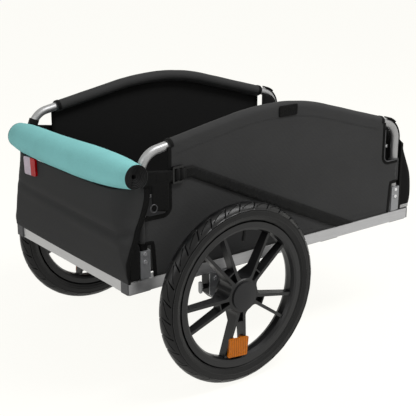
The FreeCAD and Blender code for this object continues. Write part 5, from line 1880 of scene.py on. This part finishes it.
    def top_of(self, column: int) -> float:
        """Finds how high the cloth goes in one column.

        Args:
            column: The column's number, from the right.

        Returns:
            The height of the roll's underside there, or of the flap's top.
        """
        low, high = 400.0, self.flap_top
        for _ in range(24):
            z = (low + high) / 2
            along, y = self.section(z)[column]
            held = clamp(y, self.cover.right, self.cover.left)
            near = math.dist((along, z), self.cover.middle(y)) < self.cover.reach(held) + self.cover_gap
            low, high = (low, z) if near and held == y else (z, high)
        return low

    def build_cloth(self) -> None:
        """Makes the panel, its bound flap edges and its seams."""
        shape = Shape()
        count = len(self.section(self.foot))
        tops = [self.top_of(column) for column in range(count)]
        rows = []
        for level in range(self.levels + 1):
            row = []
            for column in range(count):
                z = self.foot + (tops[column] - self.foot) * level / self.levels
                along, y = self.section(z)[column]
                row.append(shape.add(world(along, y, z), (y, z)))
            rows.append(row)
        shape.grid([row[::-1] for row in rows])
        edges = {side: [shape.points[row[side.end_of(count)]].copy() for row in rows] for side in Side}
        hem = [shape.points[number].copy() for number in rows[self.hem_level][self.hem_ends:-self.hem_ends]]
        finishes = ["panel_cloth", "lining_and_painted_shade"]
        piece = self.carrier.add(shape, "rear_panel_cloth", finishes, "panel_cloth", "rear_panel",
                                 thick=self.thick)
        for side, edge in edges.items():
            self.bind(edge, side)
        path = [point - FORWARDS * self.thick / 2 * MM for point in hem]
        self.carrier.sew(path, always(-FORWARDS), Seam.HEM, "rear_panel_hem_stitches", "panel_cloth",
                         "thread_cloth")

    def bind(self, edge: list[Vector], side: Side) -> None:
        """Folds a tape over one flap edge.

        Args:
            edge: The flap's edge from its foot up.
            side: The edge's side.
        """
        wide, rim = self.binding_width, self.binding_rim
        binding = Binding(((-1.1, 0), (-0.8, 0.9), (0.5, 1.45), (wide - rim, 1.45), (wide, 1.2)))

        def into(index: int) -> Vector:
            """The direction from the edge into the cloth."""
            run = ahead(edge, index).normalized()
            return (run * FORWARDS.dot(run) - FORWARDS).normalized()

        def room(index: int) -> float:
            """The share of the tape's width that the narrow flap has room for."""
            corner = curve_value(self.corner, (edge[index].z / MM - self.foot) / self.step)
            return clamp((corner + self.flap - rim) / wide, self.least_stretch, 1.0)

        shape = binding.on(edge, into, always(ACROSS * side.value), stretch=room)
        if side is Side.RIGHT:
            shape.turn_over()
        self.carrier.add(shape, f"rear_flap_binding_{side.word}", ["binding_black"], "webbing")

    def build_heels(self) -> None:
        """Makes the inner cloth between each flap's foot and the hoop's foot, near-black as painted shade."""
        start, ease = self.heel_ease

        def place(a: float, z: float) -> Vector:
            """A point of the cloth, which leans in a little above its foot."""
            return world(a, -(self.heel_y - self.heel_draw * smooth((z - start) / ease)), z)

        for side in Side:
            shape = cut_cloth(self.heel_outline, place, self.heel_step)
            # The near-black lining finish here is painted shade in the corner behind the flap
            piece = Carrier("rear_panel", side).add(shape, "rear_heel_cloth", ["cover_lining"], "panel_cloth",
                                                    thick=self.heel_thick)

    def build_straps(self) -> None:
        """Makes the corner straps with their hanging tabs."""
        bow, bow_start, bow_length = self.strap_bow
        slack, slack_top, slack_ease = self.tab_slack

        def place(a: float, z: float, out: float = 0.0) -> Vector:
            """Finds a point of the strap, which is bowed a little and hangs slack at the tab's end.

            Args:
                a: The point's along distance.
                z: Its height.
                out: How far it is outside the strap's middle.

            Returns:
                The point in metres.
            """
            bowed = bow * math.sin((a - bow_start) / bow_length)
            loose = slack * smooth((slack_top - z) / slack_ease)
            return world(a, -(self.strap_y + bowed + loose + out), z)

        for side in Side:
            carrier = Carrier("rear_panel", side)
            nodes = ["corner_straps"] if side is Side.RIGHT else []
            shape = cut_cloth(self.strap_outline, place, self.strap_step)
            piece = carrier.add(shape, "corner_strap_band", ["strap_black"], "webbing", *nodes,
                                thick=self.strap_thick)
            path = [place(a, z, self.strap_seam_out) for a, z in divided(self.strap_box, self.strap_box_step)]
            carrier.sew(path, always(-ACROSS), Seam.PATCH, "corner_strap_stitches")

    def build(self) -> None:
        """Makes every piece of the rear panel."""
        self.build_cloth()
        self.build_heels()
        self.build_straps()


@dataclass
class FrontPanel:
    """The cloth panel between the hoops at the front, which bulges forwards."""

    half_width: float = 232.0
    foot: float = 247.0
    flap_foot: float = 260.0
    top: float = 445.0
    step: float = 33.0
    face: tuple[float, ...] = (825.0, 839.0, 840.0, 835.5, 817.0, 800.0, 792.0)
    corner: tuple[float, ...] = (12.0, 20.0, 22.0, 24.0, 16.0, 9.5, 3.5)
    flap: float = 788.0
    crown: float = 3.6
    thick: float = 1.5
    flap_steps: int = 8
    corner_steps: int = 10
    face_steps: int = 41
    levels: int = 46

    swell: Unevenness = Unevenness(1.6, 0.009, 0.012, 7.7)
    swell_top: float = 440.0
    swell_ease: float = 50.0
    swell_in: float = 0.5
    corner_drop: float = 21.0
    drop_start: float = 196.0
    drop_ease: float = 36.0
    drop_level: float = 430.0

    top_binding: Binding = Binding(((0.9, 0.0), (0.6, 1.3), (-6.5, 1.35), (-7.3, 0.9)))
    flap_binding: Binding = Binding(((-1.0, 0.0), (-0.7, 1.2), (5.8, 1.25), (6.5, 0.9)))
    tag_z: float = 264.5
    tag_columns: tuple[int, int] = (2, 13)
    tag_out: float = 1.25
    tag_size: Point2 = (8.0, 0.6)

    carrier: ClassVar[Carrier] = Carrier("front_panel")

    def section(self, z: float) -> list[Point2]:
        """Draws the panel's middle line at a height.

        Args:
            z: The height.

        Returns:
            The points as (along, y), from the right flap to the left one.
        """
        place = (z - self.foot) / self.step
        outer = curve_value(self.face, place) - self.thick / 2
        corner = curve_value(self.corner, place) - self.thick / 2
        half = self.half_width - self.thick / 2
        straight = outer - corner - self.flap
        side = [(self.flap + straight * i / self.flap_steps, -half) for i in range(self.flap_steps + 1)]
        for i in range(1, self.corner_steps + 1):
            t = i / self.corner_steps * math.pi / 2
            side.append((outer - corner + corner * math.sin(t), -half + corner - corner * math.cos(t)))
        flat = half - corner
        ease = smooth((z - self.foot) / self.swell_ease) * smooth((self.swell_top - z) / self.swell_ease)
        face: list[Point2] = []
        for i in range(1, self.face_steps):
            y = -flat + 2 * flat * i / self.face_steps
            bulge = self.crown * (1 - (y / flat) ** 2) + self.swell.at(y, z) * ease - self.swell_in
            face.append((outer + bulge, y))
        return side + face + [(a, -y) for a, y in reversed(side)]

    def lowest(self, column: int, count: int) -> float:
        """How low the cloth goes in one column, which is higher on the flaps."""
        return self.foot if self.flap_steps < column < count - 1 - self.flap_steps else self.flap_foot

    def build(self) -> None:
        """Makes the panel, its bindings and its tag."""
        shape = Shape()
        width = self.section(self.drop_level)
        count = len(width)
        lows = [self.lowest(column, count) for column in range(count)]
        drops = [smooth((abs(y) - self.drop_start) / self.drop_ease) for _, y in width]
        tops = [self.top - self.corner_drop * drop for drop in drops]
        rows = []
        for level in range(self.levels + 1):
            row = []
            for column, (low, top) in enumerate(zip(lows, tops)):
                z = low + (top - low) * level / self.levels
                along, y = self.section(z)[column]
                row.append(shape.add(world(along, y, z), (y, z)))
            rows.append(row)
        shape.grid(rows)
        edge = [shape.points[number].copy() for number in rows[-1]]
        flaps = {side: [shape.points[row[side.end_of(count)]].copy() for row in rows] for side in Side}
        finishes = ["front_cloth", "lining_and_painted_shade"]
        piece = self.carrier.add(shape, "front_panel_cloth", finishes, "panel_cloth", "front_panel",
                                 thick=self.thick)

        def square(index: int) -> Vector:
            """The direction through the cloth at the top edge."""
            return UP.cross(ahead(edge, index).normalized()).normalized()

        binding = self.top_binding.on(edge, always(UP), square, from_nose=True)
        self.carrier.add(binding, "front_top_binding", ["binding_black"], "webbing")
        self.build_tag()
        for side, flap in flaps.items():
            strip = self.flap_binding.on(flap, always(FORWARDS), always(ACROSS), from_nose=True)
            self.carrier.add(strip, f"front_flap_binding_{side.word}", ["binding_black"], "webbing")

    def build_tag(self) -> None:
        """Makes the pale tag at the right flap's foot."""
        first, last = self.tag_columns
        line = [world(a, y, self.tag_z) for a, y in self.section(self.tag_z)[first:last]]
        out = [Vector((q.y - p.y, p.x - q.x, 0)).normalized() for p, q in zip(line, line[1:])]
        tag = tape([p + d * self.tag_out * MM for p, d in zip(line, out)], UP, *self.tag_size)
        self.carrier.add(tag, "front_panel_tag", ["tag_grey"], "webbing")


# Wheels


@dataclass
class Tyre:
    """A tyre with a curved semi-slick tread."""

    side: Side
    axle: Point2 = (237.0, 200.0)
    y: float = 297.0
    centre: float = 178.0
    section: float = 22.0
    skin: float = 0.35
    wall: float = 3.5
    foot: float = 153.45
    bead: float = 12.6
    mouth: float = 9.4
    map_scale: float = 200.0

    # The tread: its half width in degrees, its periods, and its grooves. A groove's start and stop
    # are the shares of the half width where it starts and ends, each with the share it takes to do so.
    tread: float = 60.0
    periods: int = 32
    groove: float = 0.052
    depth: float = 2.4
    lean: Point2 = (0.42, 1.25)
    fin: Point2 = (0.14, 0.66)
    fin_curve: Point2 = (0.12, 0.7)
    main_start: Point2 = (0.06, 0.1)
    main_stop: Point2 = (1.12, 0.16)
    hook_depth: float = 0.9
    hook_start: Point2 = (0.1, 0.08)
    hook_stop: Point2 = (0.84, 0.06)

    # The section's even steps, the angles in degrees where it has more points, and its ridges
    outer_steps: int = 34
    inner_steps: int = 4
    fine_angles: tuple[int, ...] = (3, 6, 9, 50, 54, 58, 62, 66, 70, 73, 75, 77, 96, 98, 100, 124, 126, 128)
    ridges: ClassVar[dict[int, float]] = {66: 0.5, 70: 1.3, 73: 1.0, 98: 0.6, 126: 0.8}

    def columns(self, across: float) -> list[Point2]:
        """The tread's columns in one period at a place across it.

        Args:
            across: From 0 at the tread's middle to 1 at its edge, and beyond on the walls.

        Returns:
            Each column as (share of the period, groove depth).
        """

        def groove(start: Point2, stop: Point2) -> float:
            """A groove's depth here, as a share."""
            return smooth((across - start[0]) / start[1]) * smooth((stop[0] - across) / stop[1])

        held = min(1.0, across)
        first = self.lean[0] * held ** self.lean[1]
        fin = self.fin[0] + self.fin[1] * smooth((held - self.fin_curve[0]) / self.fin_curve[1])
        wide = self.groove
        main = self.depth * groove(self.main_start, self.main_stop)
        hook = self.depth * self.hook_depth * groove(self.hook_start, self.hook_stop)
        places = [(0, main), (wide, 0), (fin - wide, 0), (fin, hook), (fin + wide, 0), ((fin + 1) / 2, 0),
                  (1 - wide, 0)]
        return [(first + place, depth) for place, depth in places]

    def outer(self) -> list[Point2]:
        """Spaces the points of the section's outer arc.

        Returns:
            Each point's angle in degrees from the top, and its lift where a raised line is.
        """
        limit = 180 - math.degrees(math.asin(self.bead / self.section))
        even = {round(-limit + i * 2 * limit / self.outer_steps, 3) for i in range(self.outer_steps + 1)}
        angles = sorted(even | {side.value * angle for angle in self.fine_angles for side in Side})
        return [(a, self.ridges.get(round(abs(a)), 0.0)) for a in angles]

    def inner(self) -> list[Point2]:
        """Draws the section's feet and inner arc.

        Returns:
            The points as (radius, y), from the wheel's middle.
        """
        size = self.section - self.wall
        limit = math.pi - math.asin(self.mouth / size)
        arc = [turned((self.centre, 0.0), size, limit - i * limit / self.inner_steps)
               for i in range(2 * self.inner_steps + 1)]
        first = [(self.foot, self.bead), (self.foot, self.mouth)]
        last = [(self.foot, -self.mouth), (self.foot, -self.bead)]
        return [*first, *arc, *last]

    def build(self) -> None:
        """Makes the tyre."""
        shape = Shape()
        rows: list[list[int]] = []
        middle = self.side.value * self.y

        def ring(at: Callable[[float], Point2], across: float) -> None:
            """Adds one ring of points round the wheel.

            Args:
                at: Gives the radius and the y of a point from its groove's depth.
                across: The ring's place across the tread.
            """
            row = []
            for period in range(self.periods):
                for share, cut in self.columns(across):
                    turn = (period + share) / self.periods * math.tau
                    radius, y = at(cut)
                    along, z = turned(self.axle, radius, turn)
                    row.append(shape.add(world(along, y + middle, z), (turn * self.map_scale, middle)))
            rows.append(row)

        def outside(angle: float, lift: float) -> Callable[[float], Point2]:
            """Gives the points of the outer arc at an angle."""
            size, turn = self.section - self.skin + lift, math.radians(angle)
            return lambda cut: turned((self.centre, 0.0), size - cut, turn)

        for angle, lift in self.outer():
            ring(outside(angle, lift), abs(angle) / self.tread)
        on_wall = 2.0
        for place in self.inner():
            ring(lambda cut, place=place: place, on_wall)
        shape.grid(rows + [rows[0]], closed=True)
        word = self.side.word
        carrier = Carrier(f"wheel_{word}")
        carrier.add(shape, f"tyre_tread_{word}", ["tyre_rubber"], "tyre_rubber", f"tyre_{word}", sharp=50)


# Rigid pieces that keep their CAD shape


def both(name: str) -> list[str]:
    """A name for the right side and for the left."""
    return [f"{name}_{side.word}" for side in Side]


class RigidPieces:
    """The finishes of the frame, hoops, wheels, brackets, reflectors and tow arm."""

    FINISHES: ClassVar[dict[str, list[str]]] = {
        "rail_anodised": both("side_rail"),
        "cross_rail_anodised": ["rear_rail", "front_rail", "floor_cross_bars"],
        "plug_grey": ["rail_end_plugs"],
        "hoop_anodised": both("hoop"),
        "foot_zinc": [*both("hoop_feet"), "hinge_bases", "joint_plates"],
        "plate_zinc": ["axle_plates", "stub_axles", "axle_spacers", "tow_bracket", "hitch_head",
                       *both("wheel_bearings")],
        "bright_zinc": ["frame_rivets", "floor_screws", "hinge_pins", *both("foot_rivets"), "bracket_bolts",
                        "tow_pivot_bolt", "hitch_pin"],
        "dark_wire": ["corner_rings"],
        "spring_wire": ["release_springs"],
        "arm_paint": ["tow_arm"],
        "floor_black": ["floor_panel"],
        "wheel_black": both("rim"),
        "cap_black": both("hub_cap"),
        "block_black": ["axle_blocks", "tow_clamp_knob"],
        "buckle_black": both("strap_buckle"),
        "knob_grey": both("release_knob"),
        "tube_rubber": both("inner_tube"),
        "lens_amber": both("spoke_reflector"),
        "lens_white": ["rear_reflector_white"],
        "lens_red": ["rear_reflector_red"],
    }

    def build(self) -> None:
        """Dresses every rigid node."""
        for finish, nodes in self.FINISHES.items():
            for name in nodes:
                materials = FRAME["nodes"][name].data.materials
                materials.clear()
                materials.append(Finishes.get(finish))
                log.info("dressed %s in %s", name, finish)


# Studio


@dataclass(frozen=True)
class Lamp:
    """A soft lamp, with its place, its target and its size in metres and its power in watts."""

    name: str
    place: Point3
    target: Point3
    size: Point2
    watts: float


@dataclass
class Studio:
    """The floor, the light and the camera. Its places and sizes are in metres."""

    backdrop: Colour = from_screen(254, 253, 248)
    room_light: float = 0.3
    floor_half: float = 9.0
    floor_z: float = -0.0004
    paper: Colour = (0.86, 0.86, 0.85)
    glow: float = 1.09
    shadow_share: float = 0.13
    lamps: tuple[Lamp, ...] = (
        Lamp("top_light", (0.8, -1.05, 2.3), (0.8, 0.0, 0.3), (1.9, 0.6), 47.0),
        Lamp("rear_light", (-2.6, -0.6, 1.5), (-0.1, 0.0, 0.3), (1.6, 1.6), 18.0),
        Lamp("side_light", (0.8, -2.6, 1.4), (0.0, 0.0, 0.3), (1.6, 1.6), 4.0),
    )
    camera: Point3 = (-1.46515, -1.8983, 1.0675)
    azimuth: float = -37.365
    elevation: float = 18.202
    lens_mm: float = 91.5
    sensor_mm: float = 36.0
    clip: Point2 = (0.05, 60.0)

    def build_world(self) -> None:
        """Makes the even light of the room."""
        room = bpy.data.worlds.new("studio")
        bpy.context.scene.world = room
        tree = NodeTree(room)
        light = tree.node("Background", {0: (1.0, 1.0, 1.0, 1.0), 1: self.room_light}).outputs[0]
        seen = tree.node("Background", {0: (*self.backdrop, 1.0), 1: 1.0}).outputs[0]
        tree.node("OutputWorld", {0: tree.mixed(tree.seen_directly(), light, seen)})

    def build_floor(self) -> None:
        """Makes the pale floor, which keeps a soft shadow."""
        far = self.floor_half
        shape = Shape()
        corners = ((-far, -far), (far, -far), (far, far), (-far, far))
        shape.face([shape.add(Vector((x, y, self.floor_z))) for x, y in corners])
        floor = shape.build("floor", [])
        material = bpy.data.materials.new("floor_paper")
        tree = NodeTree(material)
        paper = tree.node("BsdfDiffuse", {0: (*self.paper, 1.0)}).outputs[0]
        glow = tree.node("Emission", {0: (*self.backdrop, 1.0), 1: self.glow}).outputs[0]
        shadow = tree.mixed(self.shadow_share, glow, paper)
        tree.node("OutputMaterial", {0: tree.mixed(tree.seen_directly(), paper, shadow)})
        floor.data.materials.append(material)

    def hang(self, name: str, data: bpy.types.Light | bpy.types.Camera, place: Point3,
             facing: Vector) -> bpy.types.Object:
        """Puts a lamp or a camera in its place.

        Args:
            name: Its name.
            data: The lamp or the camera.
            place: Its place in metres.
            facing: The direction that it faces.

        Returns:
            Its object.
        """
        holder = bpy.data.objects.new(name, data)
        bpy.context.scene.collection.objects.link(holder)
        holder.location = place
        holder.rotation_euler = facing.to_track_quat("-Z", "Y").to_euler()
        return holder

    def build_lamps(self) -> None:
        """Hangs the soft lamps."""
        for lamp in self.lamps:
            data = bpy.data.lights.new(lamp.name, "AREA")
            data.shape = "RECTANGLE"
            data.size, data.size_y = lamp.size
            data.energy = lamp.watts
            self.hang(lamp.name, data, lamp.place, Vector(lamp.target) - Vector(lamp.place))

    def build_camera(self) -> None:
        """Sets the camera at the photograph's viewing angle."""
        data = bpy.data.cameras.new("camera")
        data.lens = self.lens_mm
        data.sensor_width = self.sensor_mm
        data.clip_start, data.clip_end = self.clip
        turn, rise = math.radians(self.azimuth), math.radians(self.elevation)
        back = Vector((math.sin(turn) * math.cos(rise), -math.cos(turn) * math.cos(rise), math.sin(rise)))
        bpy.context.scene.camera = self.hang("camera", data, self.camera, -back)

    def build(self) -> None:
        """Makes the whole studio."""
        bpy.context.scene.view_settings.view_transform = "Standard"
        self.build_world()
        self.build_floor()
        self.build_lamps()
        self.build_camera()


def main() -> None:
    """Builds the looks in order."""
    logging.basicConfig(level=logging.INFO, format="%(name)s: %(message)s")
    Studio().build()
    RigidPieces().build()
    cover = RolledCover()
    cover.build()
    RearPanel(cover).build()
    FrontPanel().build()
    for side in Side:
        SideWall(side).build()
        Tyre(side).build()
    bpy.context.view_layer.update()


if __name__ == "__main__":
    main()
